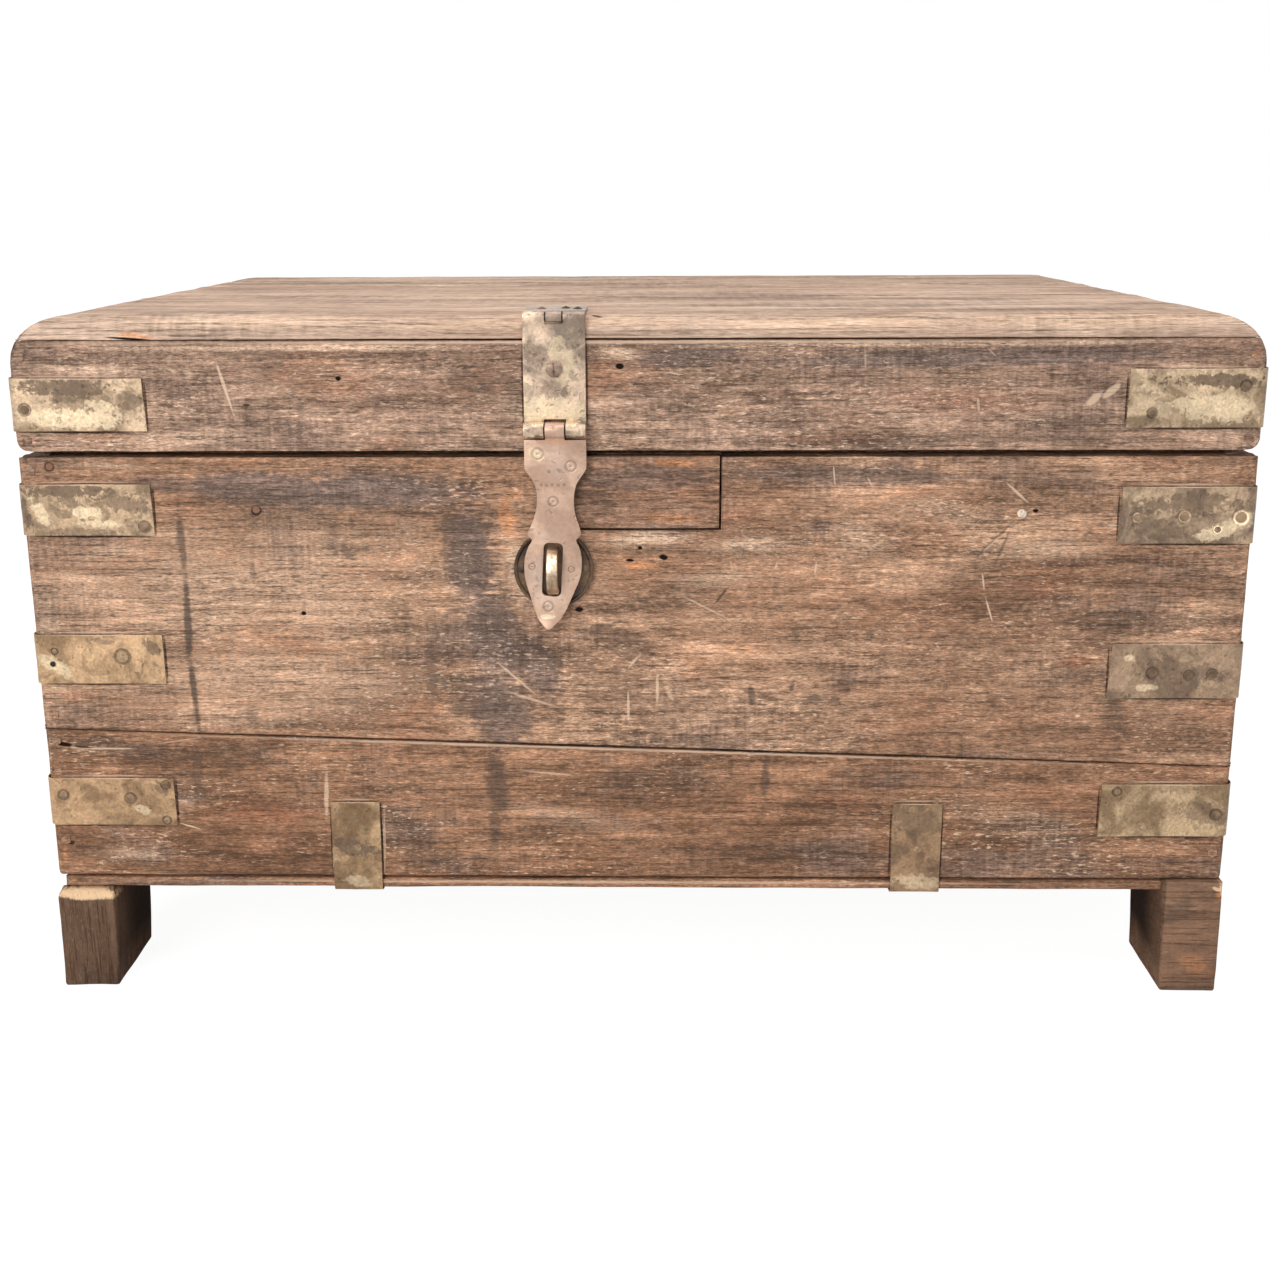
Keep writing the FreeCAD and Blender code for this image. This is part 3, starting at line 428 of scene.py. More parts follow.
# an uneven surface; level 1 only sinks it
def wobble(piece, depth, size, level=1.0, direction="NORMAL"):
    clouds = bpy.data.textures.new(piece.name + "Wear", "CLOUDS")
    clouds.noise_scale = size
    modify(piece, "DISPLACE", texture=clouds, strength=depth, mid_level=level, direction=direction,
           texture_coords="LOCAL")


def addDrum(name, vertices, radius, depth, place=(0, 0, 0), turn=0):   # a cylinder, turned about X
    clearSelection()
    bpy.ops.mesh.primitive_cylinder_add(vertices=vertices, radius=radius, depth=depth, location=place,
                                        rotation=(math.radians(turn), 0, 0))
    return named(name)


def inset(piece, test, *steps):   # each step: how far in from the rim, and how far the face inside it moves
    choose(piece, "FACE", test)
    for width, step in steps:
        bpy.ops.mesh.inset(thickness=width)
        if step:
            bpy.ops.transform.translate(value=step)
    leave()


def spread(low, high, step):   # even places between two ends, the ends left out
    count = max(int((high - low) / step), 1)
    return [low + (high - low) * k / count for k in range(1, count)]


def finishPiece(piece, body, nodes, material, angle=40):
    piece.data.materials.clear()
    piece.data.materials.append(material)
    takeUp(piece)
    bpy.ops.object.shade_smooth_by_angle(angle=math.radians(angle))
    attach(piece, body)
    if nodes:
        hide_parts(*nodes)
    return piece


def pieceName(node):   # front_upper_board becomes frontUpperBoard
    words = node.split("_")
    return words[0] + "".join(word.title() for word in words[1:])


def discard(*pieces):
    for piece in pieces:
        bpy.data.objects.remove(piece)


# Where the marks are, read off the front

def marked(**kinds):   # rows in millimetres, each with its strength last
    return [(kind, *[value / 1000 for value in row[:-1]], row[-1])
            for kind, rows in kinds.items() for row in rows]


bodyMarks = marked(
    crack=[(-475, 226, 475, 196, 0.9, 1), (-60, 389.3, 67, 389.3, 0.8, 1), (66.9, 389.3, 66.9, 447, 0.6, 0.7)],
    # rim: painted shade on the body's top edge, in the gap under the lid
    rim=[(-900, 446.6, 900, 446.6, 1, 1)],
    stain=[(-129, 402, -126, 344, 31, 1), (-126, 392, -122, 335, 22, 1), (-112, 340, -110, 300, 28, 1),
        (-105, 296, -78, 270, 22, 1), (-98, 300, -66, 252, 24, 0.8), (-70, 285, -60, 281, 16, 0.8),
        (-146, 262, -90, 240, 27, 0.9), (-60, 270, 70, 252, 34, 0.4), (220, 330, 330, 315, 62, 0.25),
        (459, 428, 462, 216, 15, 0.3), (-138, 330, -150, 280, 20, 0.5), (-125, 232, -95, 206, 16, 0.7),
        (-290, 434, -120, 430, 13, 0.6), (-28, 219, 131, 214, 9.2, 0.7), (-25, 310, 5, 285, 20, 0.7),
        (5, 333, 51, 341, 18.5, 0.45), (4, 234, 44, 232, 10.8, 0.6), (-58, 284, -27, 280, 16.9, 0.5),
        (315, 317, 469, 316, 15.4, 0.6), (322, 275, 368, 271, 12.3, 0.6), (373, 260, 384, 218, 13.8, 0.6),
        (340, 330, 372, 290, 16, 0.4)],
    band=[(-352, 423, -225, 422, 16, 1), (-128, 396, -124, 318, 23, 0.8), (-116, 330, -106, 264, 26, 0.8),
        (-110, 268, -98, 208, 27, 0.75), (-84, 296, -66, 262, 17, 0.7), (-300, 422, -110, 417, 18, 1),
        (-400, 426, -300, 424, 9, 0.6), (51, 436, 279, 428, 10.8, 0.8), (301, 428, 362, 431, 7.7, 0.5)],
    red=[(330, 283, 362, 284, 6.9, 0.9), (298, 341, 344, 349, 15.4, 0.5), (51, 397, 97, 401, 12.3, 0.6),
        (-461, 252, -426, 252, 6.9, 0.7)],
    raw=[(-99, 408, -95, 384, 8, 0.8), (-99, 415, -87, 418, 5.4, 0.7), (-12, 361, 16, 360, 5.4, 0.8)],
    pale=[(-21, 381, 43, 383, 9.2, 1), (158, 389, 189, 377, 15.4, 0.5), (40, 372, 128, 380, 11, 0.8),
        (30, 350, 110, 352, 8, 0.5), (270, 373, 360, 377, 11, 0.5), (188, 413, 280, 397, 12.3, 0.4),
        (-440, 350, -170, 345, 62, 0.5), (-446, 370, -360, 372, 11, 0.6), (-449, 349, -386, 341, 23.1, 0.4),
        (-440, 268, -180, 262, 40, 0.45), (-400, 240, -250, 236, 14, 0.4), (-94, 378, -86, 332, 12, 1),
        (-440, 441, -371, 439, 4.6, 0.7), (-332, 333, -167, 323, 15.4, 0.35), (-462, 345, -458, 240, 13, 0.45)],
    streak=[(-352, 420, -350, 340, 4.2, 0.8), (-350, 358, -352, 268, 4, 1), (-352, 300, -348, 214, 4, 1),
        (-297, 365, -297, 349, 3.8, 0.5), (-233, 397, -233, 368, 6.9, 0.5), (-224, 377, -219, 368, 6.9, 0.5),
        (-179, 333, -178, 300, 5.4, 0.45), (-160, 300, -160, 234, 6.9, 0.4), (-306, 250, -304, 227, 6.2, 0.35),
        (135, 252, 148, 252, 5.4, 0.9), (156, 250, 160, 252, 3.8, 0.8), (92, 261, 93, 248, 3.8, 0.8),
        (125, 266, 123, 258, 2.3, 0.7), (79, 374, 86, 372, 3.8, 0.6), (125, 312, 127, 301, 3.1, 0.4),
        (184, 307, 185, 301, 3.8, 0.5), (233, 251, 236, 238, 4.6, 0.4), (60.5, 326.7, 73.1, 343.3, 1.5, 1),
        (263, 366, 293, 398, 1.5, 0.7), (277, 358, 291, 396, 1.3, 0.6)],
    scratch=[(-115, 288, -75, 252, 1.4, 0.8), (-106, 259, -59, 244, 1.4, 0.6), (18, 274, 18, 246, 1.9, 0.9),
        (-5, 259, -5, 231, 1.2, 0.8), (26, 258, 30, 251, 1.9, 0.6), (-5, 277, 4, 288, 1.4, 0.7),
        (36.5, 336.7, 74.8, 316.8, 1.1, 0.6), (109, 357, 111, 364, 1.1, 0.8), (140, 353, 141, 364, 1.1, 0.8),
        (269, 354, 271, 341, 0.9, 0.9), (272, 336, 279, 314, 0.9, 0.9), (284.9, 425, 299.9, 411.4, 1.2, 0.8),
        (269, 372, 281, 384, 1.1, 0.6), (361.9, 392.4, 372.2, 392.4, 1.2, 0.9), (152, 442, 154, 422, 0.9, 0.7),
        (178, 431, 184, 419, 1.1, 0.7), (74.3, 365.2, 76.7, 354.8, 0.9, 0.5)],
    hole=[(-259.1, 322, -258.7, 322, 2.3, 1), (4.4, 374.8, 5.2, 374.8, 1.8, 1), (21.4, 367.6, 24.5, 366.8, 2.8, 1),
        (-5.3, 365, -0.6, 364.8, 1.5, 1), (-44.1, 325.1, -41.4, 325.3, 2.5, 1), (306.5, 404, 308, 404, 1.8, 1),
        (-449.1, 439.3, -449, 439.3, 4.8, 0.9), (-291.3, 404.3, -291.2, 404.3, 4.8, 0.9)],
    head=[(-449.1, 439.3, -449, 439.3, 3.5, 1), (-291.5, 405.1, -291.3, 405.1, 3.4, 1)])
lowerMarks = marked(
    crack=[(-475, 225.7, 475, 195.7, 0.8, 1), (-475, 96.9, 475, 96.9, 0.7, 1),
        (-452.5, 210.9, -433.2, 208.8, 0.9, 0.8)],
    edge=[(-475, 223.6, 475, 193.6, 1.7, 1)],
    stain=[(-461, 212, -357, 206, 12.3, 0.9), (-357, 206, -268, 208, 9.2, 0.5), (-196, 155, -167, 113, 20, 0.6),
        (-188, 191, -132, 187, 12.3, 0.4), (-60, 183, 84, 187, 12.3, 0.4), (20, 122, 182, 121, 12.3, 0.35)],
    streak=[(-351, 208, -353, 171, 6.2, 0.5), (105, 203, 103, 166, 5.4, 0.8), (-112, 205, -108, 150, 13, 0.8),
        (-112, 170, -114, 118, 7, 0.6), (76, 203, 77, 185, 3.1, 0.5), (201, 201, 203, 188, 3.8, 0.3)],
    pale=[(-450, 119, -378, 116, 9.2, 0.6), (-133, 165, 4, 140, 10.8, 0.35), (-371, 165, -360, 160, 7.7, 0.4),
        (255, 160, 365, 135, 18, 0.35)],
    raw=[(-466, 128, -466, 106, 3.8, 0.7)],
    red=[(-352, 156, -255, 152, 13.8, 0.6), (148, 166, 188, 162, 12.3, 0.5), (291, 175, 355, 167, 13.8, 0.5)],
    hole=[(-463.6, 213, -452.4, 211.3, 2.3, 1), (-460.5, 126.7, -458.8, 126.7, 2.3, 0.8)],
    scratch=[(-452.7, 208.8, -397.7, 208.5, 1.1, 0.8), (-388.6, 211.9, -347.8, 218, 0.9, 0.4),
        (-372, 145, -350, 138, 0.9, 1), (-248, 190, -250, 146, 2.2, 0.7), (-243.7, 165.1, -246.6, 91.3, 1.2, 0.7),
        (-202.6, 160, -205, 95, 1.2, 0.5), (-92, 191, -44, 186, 1.1, 0.6)])
haspMarks = marked(
    # the first patina row is painted shade on the lower half of the lower knuckles, and the dark line under them is
    # painted shadow
    patina=[(-87, 463, -31, 463, 2.4, 1), (-80, 528, -70, 520, 8, 0.5), (-66, 500, -50, 497, 6, 0.45)],
    crack=[(-87, 461.7, -31, 461.7, 1, 0.9)],
    worn=[(-80, 484, -40, 482, 10, 0.9), (-78, 476, -40, 475, 5, 1), (-56, 530, -50, 510, 10, 0.6)])
leafMarks = marked(
    # the second worn spot is a painted highlight along the leaf's tip
    worn=[(-76, 452, -70, 448, 5, 0.7), (-71.5, 321.5, -61, 322, 2, 1)],
    raw=[(-72, 460, -48, 459, 3, 0.5)],
    bright=[(-66, 372, -65, 334, 22, 1), (-60, 450, -57, 440, 16, 0.5)])
stapleMarks = marked(
    # a painted glint low on the staple's bow
    raw=[(-62, 346, -60, 346, 3.5, 1)])
patchMarks = marked(
    band=[(-35, 430, 60, 430, 12, 0.7)],
    stain=[(-50, 415, -20, 405, 14, 0.6)],
    raw=[(18, 442, 48, 441, 3.5, 0.8), (5, 400, 55, 396, 6, 0.6)])
baseMarks = marked(
    band=[(-470, 93, -250, 92, 4, 0.5)],
    edge=[(-475, 93.5, 475, 93.5, 1.6, 0.8)],
    crack=[(-475, 97.2, 475, 97.2, 0.7, 1)])
topMarks = marked(
    pale=[(-490, 549, -150, 548, 8.5, 0.9), (-230, 548, 120, 548, 8.5, 0.9), (0, 548, 300, 548, 8.5, 0.9),
        (200, 548, 490, 549, 8.5, 0.9)],
    edge=[(-475, 537.6, 475, 537.6, 1.4, 0.6)],
    crack=[(-475, 535.9, 475, 535.9, 0.8, 1), (-400.8, 538.7, -361.7, 535.9, 1.1, 1),
        (-31.8, 553.2, -22.1, 551.7, 0.9, 0.8)],
    raw=[(-389, 540, -363, 538, 3.5, 0.9)])
lidMarks = marked(
    crack=[(-475, 536.1, 475, 536.1, 0.9, 1)],
    # rim: painted shade on the lid's lower edge, in the gap above the body
    rim=[(-900, 450.2, 900, 450.2, 1.4, 1)],
    edge=[(-475, 533.8, 475, 533.8, 2, 1)],
    stain=[(-153, 515, -100, 496, 15.4, 0.8), (-134, 509, -85, 505, 10.8, 0.5), (-265, 468, -246, 460, 10.8, 0.5),
        (-349, 527, -160, 525, 7.7, 0.5), (-25, 459, 450, 460, 7.7, 0.5), (277, 470, 366, 470, 7.7, 0.5),
        (-17, 494, 50, 486, 10.8, 0.45)],
    band=[(5, 520, 80, 528, 10.8, 0.9), (80, 518, 444, 524, 9.2, 1), (170, 520, 407, 521, 6.9, 0.7)],
    red=[(171, 493, 321, 486, 13.8, 0.5), (81, 459, 202, 462, 6.2, 0.4)],
    pale=[(-402, 530, -84, 530, 3.5, 1), (-24, 530, 443, 533, 2.7, 0.9), (-392, 460, -262, 463, 9.2, 0.5),
        (-100, 490, -82, 475, 10.8, 0.6), (-23, 528, 5, 523, 6.2, 0.9), (372, 515, 452, 513, 4.6, 0.9),
        (-464, 517, -373, 512, 5.4, 0.6), (-30, 490, -22, 459, 6.2, 0.5)],
    scratch=[(-315, 521, -303, 476, 1.5, 0.9), (342, 486, 350, 494, 3.5, 0.8), (353, 491, 363, 500, 3.1, 0.8),
        (259.1, 491, 260.3, 480.3, 1.2, 0.6), (173.3, 530.3, 174.6, 510.8, 1.2, 0.4),
        (264.8, 528.5, 271, 522.5, 0.9, 0.5), (-338, 512, -333, 510, 2.3, 0.5)],
    streak=[(-352, 498, -351, 475, 3.1, 0.35), (-323, 512, -324, 498, 2.3, 0.5), (-252, 494, -253, 460, 3.1, 0.35)],
    hole=[(-223, 506.8, -222.3, 506.8, 2.2, 1), (-10.8, 515.5, -8.9, 515.5, 2.9, 1),
        (-296, 486.8, -290.7, 486.8, 1.1, 0.8)])


# Boards. A form is the whole body, lid or base worn round; each board is what the form leaves of its block.

boardLook = {
    "arris": 0.0011, "wobble": 0.0016, "wobbleSize": 0.05, "step": 0.022, "overrun": 0.01,
    "upright": 0.007, "wall": 0.022, "endLap": 0.012, "notchGap": 0.0007, "seamRise": 0.030,
    "columns": 4, "tight": 0.0005,
    "wallForm": {"alongX": (0.0040, 0.0030), "alongY": (0.0085, 0.0045)},    # radii at the foot and the top
    "lidForm": {"alongX": (0.0020, 0.014), "alongY": (0.014, 0.046)},
    "baseForm": {"alongX": (0.0042, 0.0030), "alongY": (0.0042, 0.0030), "short": 0.005},
}
boardRows = {   # what each form shapes: the body, whether its front and back boards have laps, the wood of each board
    "wallForm": ("chest", True, {
        "front_upper_board": "upper", "front_lower_board": "lower", "front_patch": "patch",
        "back_lower_board": "back", "back_upper_board": "back", "left_lower_board": "side",
        "left_upper_board": "side", "right_lower_board": "side", "right_upper_board": "side"}),
    "baseForm": ("chest", False, {
        "bottom_board_front": "base", "bottom_board_middle": "base", "bottom_board_back": "base"}),
    "lidForm": ("lid", True, {
        "lid_front_rail": "lid", "lid_back_rail": "back", "lid_left_rail": "side", "lid_right_rail": "side",
        "lid_top_front_board": "top", "lid_top_middle_board": "top", "lid_top_back_board": "top"}),
}
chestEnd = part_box("front_lower_board")[1].x
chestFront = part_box("front_lower_board")[0].y
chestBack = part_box("back_lower_board")[1].y


def wornForm(name, nodes, radii):
    corners = [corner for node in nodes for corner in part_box(node)]
    low = Vector([min(corner[k] for corner in corners) for k in range(3)])
    high = Vector([max(corner[k] for corner in corners) for k in range(3)])
    low.x, high.x = radii.get("short", 0) - chestEnd, chestEnd
    form = addBlock(name, low, high)
    roundEdges(form, 2, boardLook["upright"], 5)
    for axis, (foot, top) in ((0, radii["alongX"]), (1, radii["alongY"])):
        block = addBlock("wearTool", low, high)
        height = (low.z + high.z) / 2
        roundEdges(block, axis, foot, 4, lambda spot: spot.z < height)
        roundEdges(block, axis, top, 8, lambda spot: spot.z > height)
        carve(form, block, "INTERSECT")
        discard(block)
    return form


# A board with many marks is painted in columns, each with the marks that reach it
def inColumns(name, look, marks):
    materials = []
    width = 2 * chestEnd / boardLook["columns"]
    for k in range(boardLook["columns"]):
        low = k * width - chestEnd - boardLook["step"]
        high = low + width + 2 * boardLook["step"]
        near = []
        for mark in marks:
            reach = (abs(mark[3] - mark[1]) / 2 + mark[5]) * 1.6
            if low < (mark[1] + mark[3]) / 2 + reach and (mark[1] + mark[3]) / 2 - reach < high:
                near.append(mark)
        materials.append(woodMaterial(name + str(k + 1), look, near, chestFront))
    return materials


def makeBoard(node, body, material, form, cutters, skew):
    low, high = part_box(node)
    if node.startswith("lid_top"):   # its own box ends where the lid's ends are rounded
        low.x, high.x = -chestEnd, chestEnd
    if node.startswith(("lid_top", "bottom")):   # no daylight shows between boards side by side
        low.y, high.y = low.y - boardLook["tight"], high.y + boardLook["tight"]
    piece = addBlock(pieceName(node), low, high)
    if skew:
        shift(piece, skew[0], (0, 0, skew[1]))
    for tool in cutters:
        carve(piece, tool)
    carve(piece, form, "INTERSECT")
    soften(piece, boardLook["arris"])
    for axis in (0, 1, 2):
        cutAcross(piece, axis, spread(low[axis], high[axis], boardLook["step"]))
    wobble(piece, boardLook["wobble"], boardLook["wobbleSize"])
    columns = material if isinstance(material, list) else [material]
    finishPiece(piece, body, [node], columns[0])
    for more in columns[1:]:
        piece.data.materials.append(more)
    for face in piece.data.polygons:
        share = (face.center.x + chestEnd) / (2 * chestEnd)
        face.material_index = min(max(int(share * len(columns)), 0), len(columns) - 1)
    return piece


# the blocks that leave a lap at both ends of a front or back board
def lapTools(z0, z1, face, inward):
    look = boardLook
    y0, y1 = sorted((face + inward * look["endLap"], face + inward * (look["wall"] + look["overrun"])))
    tools = []
    for side in (-1, 1):
        x0, x1 = sorted((side * (chestEnd - look["wall"]), side * (chestEnd + look["overrun"])))
        tools.append(addBlock("lapTool", (x0, y0, z0 - look["overrun"]), (x1, y1, z1 + look["overrun"])))
    return tools


def buildBoards():
    look = boardLook
    upper = varied(woodLook, seed=4.0, brown=(145, 111, 88), tan=(183, 146, 119))
    lower = varied(woodLook, seed=9.0, brown=(118, 86, 65), tan=(150, 113, 88), flecks=1.1)
    patch = varied(woodLook, seed=12.0, brown=(121, 93, 75), tan=(156, 121, 99), flecks=0.4)
    lid = varied(woodLook, seed=17.0, brown=(136, 109, 92), tan=(170, 139, 118))
    # the lid top's colours are lighter than the front's, partly as painted light falling from above
    top = varied(woodLook, seed=23.0, brown=(172, 145, 127), tan=(202, 174, 153), grey=(140, 119, 105),
                 red=(176, 144, 124), greyness=0.8, flecks=0.4, stretch=0.45, contrast=0.85)
    materials = {
        "upper": inColumns("frontUpperWood", upper, bodyMarks + strapShadowDirtAndHighlight(
            "strap_front_left_top", "strap_front_left_middle", "strap_front_right_top",
            "strap_front_right_middle")),
        "lower": inColumns("frontLowerWood", lower, lowerMarks + strapShadowDirtAndHighlight(
            "strap_front_left_bottom", "strap_front_right_bottom", "base_strap_front_left",
            "base_strap_front_right")),
        "patch": woodMaterial("patchWood", patch, patchMarks, chestFront),
        "lid": inColumns("lidRailWood", lid, lidMarks + strapShadowDirtAndHighlight(
            "lid_strap_front_left", "lid_strap_front_right", "hasp_middle_leaf")),
        "top": woodMaterial("lidTopWood", top, topMarks, chestFront),
        "side": woodMaterial("sideWood", varied(lid, grain="y", seed=31.0)),
        "back": woodMaterial("backWood", varied(lower, seed=41.0, flecks=0.6)),
        "base": woodMaterial("baseWood", varied(lower, seed=53.0), baseMarks, chestFront),
    }
    low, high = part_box("front_patch")
    gap, more = look["notchGap"], look["overrun"]
    notch = addBlock("notchTool", (low.x - gap, low.y - more, low.z - gap),
                     (high.x + gap, high.y + gap, high.z + more))
    z0, seam, z1 = [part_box(f"front_{name}_board")[k].z for name, k in (("lower", 0), ("lower", 1), ("upper", 1))]
    skews = {   # the seam climbs to the left
        "front_upper_board": (lambda vert: vert.co.x < 0 and vert.co.z < (z0 + z1) / 2, look["seamRise"]),
        "front_lower_board": (lambda vert: vert.co.x > 0 and vert.co.z > (z0 + seam) / 2, -look["seamRise"])}
    for name, (body, lapped, woods) in boardRows.items():
        form = wornForm(name, woods, look[name])
        low, high = min(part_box(node)[0].z for node in woods), max(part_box(node)[1].z for node in woods)
        laps = {"front": lapTools(low, high, chestFront, 1), "back": lapTools(low, high, chestBack, -1)}
        for node, wood in woods.items():
            face = node.removeprefix("lid_").split("_")[0]
            cutters = laps.get(face, []) if lapped and wood != "patch" else []
            if wood == "upper":
                cutters = cutters + [notch]
            makeBoard(node, body, materials[wood], form, cutters, skews.get(node))
        discard(form, *laps["front"], *laps["back"])
    discard(notch)


buildBoards()
print("boards laid")


# Feet. Sawn blocks with a worn chamfer round the top and painted shade on the sides that face inwards.

footLook = {"round": 0.0030, "chamfer": 0.0045, "foot": 0.0022, "wobble": 0.0016, "wobbleSize": 0.04, "step": 0.009,
            "taper": 0.0045,
            "own": {"foot_front_left": {"chamfer": 0.0080}, "foot_front_right": {"top": 0.0985, "chamfer": 0.0015}}}


def buildFeet():
    # the feet's inner sides get painted shade
    wood = varied(woodLook, grain="z", seed=61.0, brown=(94, 72, 58), tan=(112, 88, 71), grey=(86, 68, 57),
                  deep=(66, 50, 40), redness=0.0, flecks=0.15, contrast=0.5, scrapes=0.5, grime=(0.4295, 0.4275),
                  shine=0.02)
    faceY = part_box("foot_front_left")[0].y
    left = woodMaterial("footWood", wood, marked(chip=[(-480, 83.5, -418, 82, 5.5, 0.8)]), faceY)
    wood = varied(wood, grain="x", seed=67.0, brown=(127, 97, 78), tan=(155, 122, 98), grey=(116, 90, 74))
    right = woodMaterial("rightFootWood", wood, marked(
        stain=[(432, 68, 446, 78, 14, 0.75), (425, 92, 476, 93, 7, 0.3), (424, 3, 476, 3, 4, 0.6)],
        raw=[(471, 92, 476, 78, 4, 0.9), (446, 30, 462, 22, 10, 0.5)],
        chip=[(472, 95, 477, 82, 3, 0.8), (466, 93, 472, 90, 2, 0.7)]), faceY)
    for node in ("foot_front_left", "foot_front_right", "foot_back_left", "foot_back_right"):
        low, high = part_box(node)
        look = {**footLook, **footLook["own"].get(node, {})}
        high.z = look.get("top", high.z)
        piece = addBlock(pieceName(node), low, high)
        inner = low.x if "right" in node else high.x
        shift(piece, lambda vert: vert.co.z < 1e-5 and abs(vert.co.x - inner) < 1e-5,
              (look["taper"] if "right" in node else -look["taper"], 0, 0))
        roundEdges(piece, 2, look["round"], 3)
        bevelEdges(piece, lambda edge: min(vert.co.z for vert in edge.verts) > high.z - 1e-5, look["chamfer"], 3)
        bevelEdges(piece, lambda edge: max(vert.co.z for vert in edge.verts) < low.z + 1e-5, look["foot"], 2)
        for axis in (0, 1, 2):
            cutAcross(piece, axis, spread(low[axis], high[axis], look["step"]))
        wobble(piece, look["wobble"], look["wobbleSize"])
        finishPiece(piece, "chest", [node], right if "right" in node else left)


buildFeet()
print("feet set")


# Straps. A sheet bent round the corner, cut by hand, dented, with a few flat nail heads.

strapShape = {
    "thickness": 0.0011, "sink": 0.0005, "bend": 0.0080, "step": 0.0055, "wave": 0.0014, "waveSize": 0.06,
    "dent": 0.0005, "dentSize": 0.018, "arris": 0.0003, "headRise": 0.00045, "headRadius": 0.0034,
    "baseBend": 0.0045, "baseHead": (0.001, 0.1245, 0.0030),   # beside its middle, height above the floor, radius
    "clear": 0.0009,                                  # how far the side heads stand out from the board
    "sideHeads": ((0.28, 0.009), (0.80, -0.007)),     # share of the leg, height above the strap's middle
    "backHeads": ((0.452, 0.008), (0.392, -0.006)),   # how far from the chest's middle, height as above
}


def millimetres(*rows):
    return [tuple(value / 1000 for value in row) for row in rows]


# the straps on the front: degrees that the end is out of square, how the brass differs from the rest, nail heads
# (x, z, radius), and what time did to it
frontStraps = {
    "lid_strap_front_left": {
        "turn": 2.6, "look": {"seed": 2.0, "light": (206, 178, 147)}, "heads": millimetres((-463, 483.6, 3.4)),
        "marks": marked(
            patina=[(-470, 501, -395, 500, 7.5, 1), (-440, 494, -425, 494, 6, 0.8), (-384, 494, -380, 490, 8, 0.7)],
            worn=[(-462, 478, -396, 476, 9, 1), (-410, 487, -396, 485, 5, 0.8)])},
    "lid_strap_front_right": {
        "turn": -1.5, "look": {"seed": 5.0, "light": (204, 178, 146)},
        "heads": millimetres((389.6, 479.5, 2.8), (457.9, 500, 3)), "marks": marked(
            patina=[(400, 505, 470, 503, 6.5, 1), (380, 497, 390, 480, 6, 0.5)],
            worn=[(415, 486, 458, 482, 11, 0.9), (380, 490, 402, 478, 6, 0.5)])},
    "strap_front_left_top": {
        "turn": 1.5, "look": {"seed": 7.0, "dark": (128, 106, 82), "light": (184, 156, 125), "tarnish": 0.8},
        "heads": millimetres((-378, 392, 3.4)), "marks": marked(
            patina=[(-470, 420, -405, 420, 6, 1), (-474, 416, -470, 396, 5, 1), (-408, 414, -378, 408, 10, 0.8),
                    (-440, 414, -430, 408, 6, 0.8), (-460, 388, -400, 387, 4, 0.7)],
            worn=[(-462, 410, -455, 398, 6, 0.9), (-440, 402, -410, 404, 6, 0.9), (-430, 396, -396, 394, 5, 0.7)])},
    "strap_front_left_middle": {
        "turn": 0.8, "look": {"seed": 9.0, "dark": (148, 118, 85), "light": (198, 162, 124), "tarnish": 0.35},
        "heads": millimetres((-404.1, 286.6, 4.6), (-457.7, 291, 2)), "marks": marked(
            worn=[(-466, 284, -452, 274, 7, 0.8)],
            patina=[(-384, 298, -378, 292, 5, 0.8), (-428, 300, -410, 298, 4, 0.6)],
            hole=[(-460, 280.4, -459.8, 280.4, 3, 1)])},
    "strap_front_left_bottom": {
        "turn": 1.0, "look": {"seed": 11.0, "dark": (134, 104, 74), "light": (184, 149, 112), "tarnish": 0.4},
        "heads": millimetres((-461.7, 169.4, 3.2), (-407.4, 166.5, 3.4), (-379, 147.8, 2.6), (-378, 178.1, 2.8)),
        "marks": marked(patina=[(-386, 178, -380, 172, 6, 0.7)], worn=[(-402, 158, -396, 156, 4, 0.7)])},
    "strap_front_right_top": {
        "turn": -2.0, "look": {"seed": 13.0, "dark": (126, 104, 86), "light": (178, 152, 124), "ringStops": 0.8},
        "heads": millimetres((419.7, 399.7, 3.4), (462.5, 399.1, 4.2), (445.5, 389.6, 2.4), (384.4, 399.1, 3)),
        "marks": marked(patina=[(385, 408, 460, 410, 10, 0.8), (385, 392, 420, 390, 9, 0.7)],
                        worn=[(434, 386, 462, 392, 6, 1), (458, 394, 468, 400, 7, 0.7)])},
    "strap_front_right_middle": {
        "turn": -3.0, "look": {"seed": 15.0, "dark": (124, 100, 80), "light": (166, 138, 112), "ringStops": -0.6},
        "heads": millimetres((404.6, 274.1, 3.4), (433.2, 272.5, 3), (451, 273.5, 3)),
        "marks": marked(patina=[(400, 276, 450, 272, 13, 0.6)],
                        worn=[(384, 288, 388, 286, 4, 0.7), (392, 262, 406, 262, 3.5, 0.7)])},
    "strap_front_right_bottom": {
        "turn": -1.8, "look": {"seed": 17.0, "dark": (134, 108, 78), "light": (186, 158, 124), "blots": 130.0},
        "heads": millimetres((383.9, 174.8, 2.6), (463.7, 155.4, 3.4)),
        "marks": marked(patina=[(440, 160, 468, 150, 10, 0.6)])},
}
baseStraps = {
    "base_strap_front_left": {
        "look": {"seed": 21.0, "dark": (124, 96, 66), "light": (180, 148, 112)},
        "marks": marked(patina=[(-240, 126, -214, 122, 7, 0.9)], worn=[(-230, 96, -222, 94, 6, 0.5)])},
    "base_strap_front_right": {
        "look": {"seed": 24.0, "dark": (106, 80, 58), "light": (148, 118, 88)},
        "marks": marked(patina=[(212, 152, 240, 146, 16, 0.6)], worn=[(212, 98, 240, 94, 9, 0.5)])},
    "base_strap_back_left": {"look": {"seed": 27.0}, "marks": []},
    "base_strap_back_right": {"look": {"seed": 28.0}, "marks": []},
}


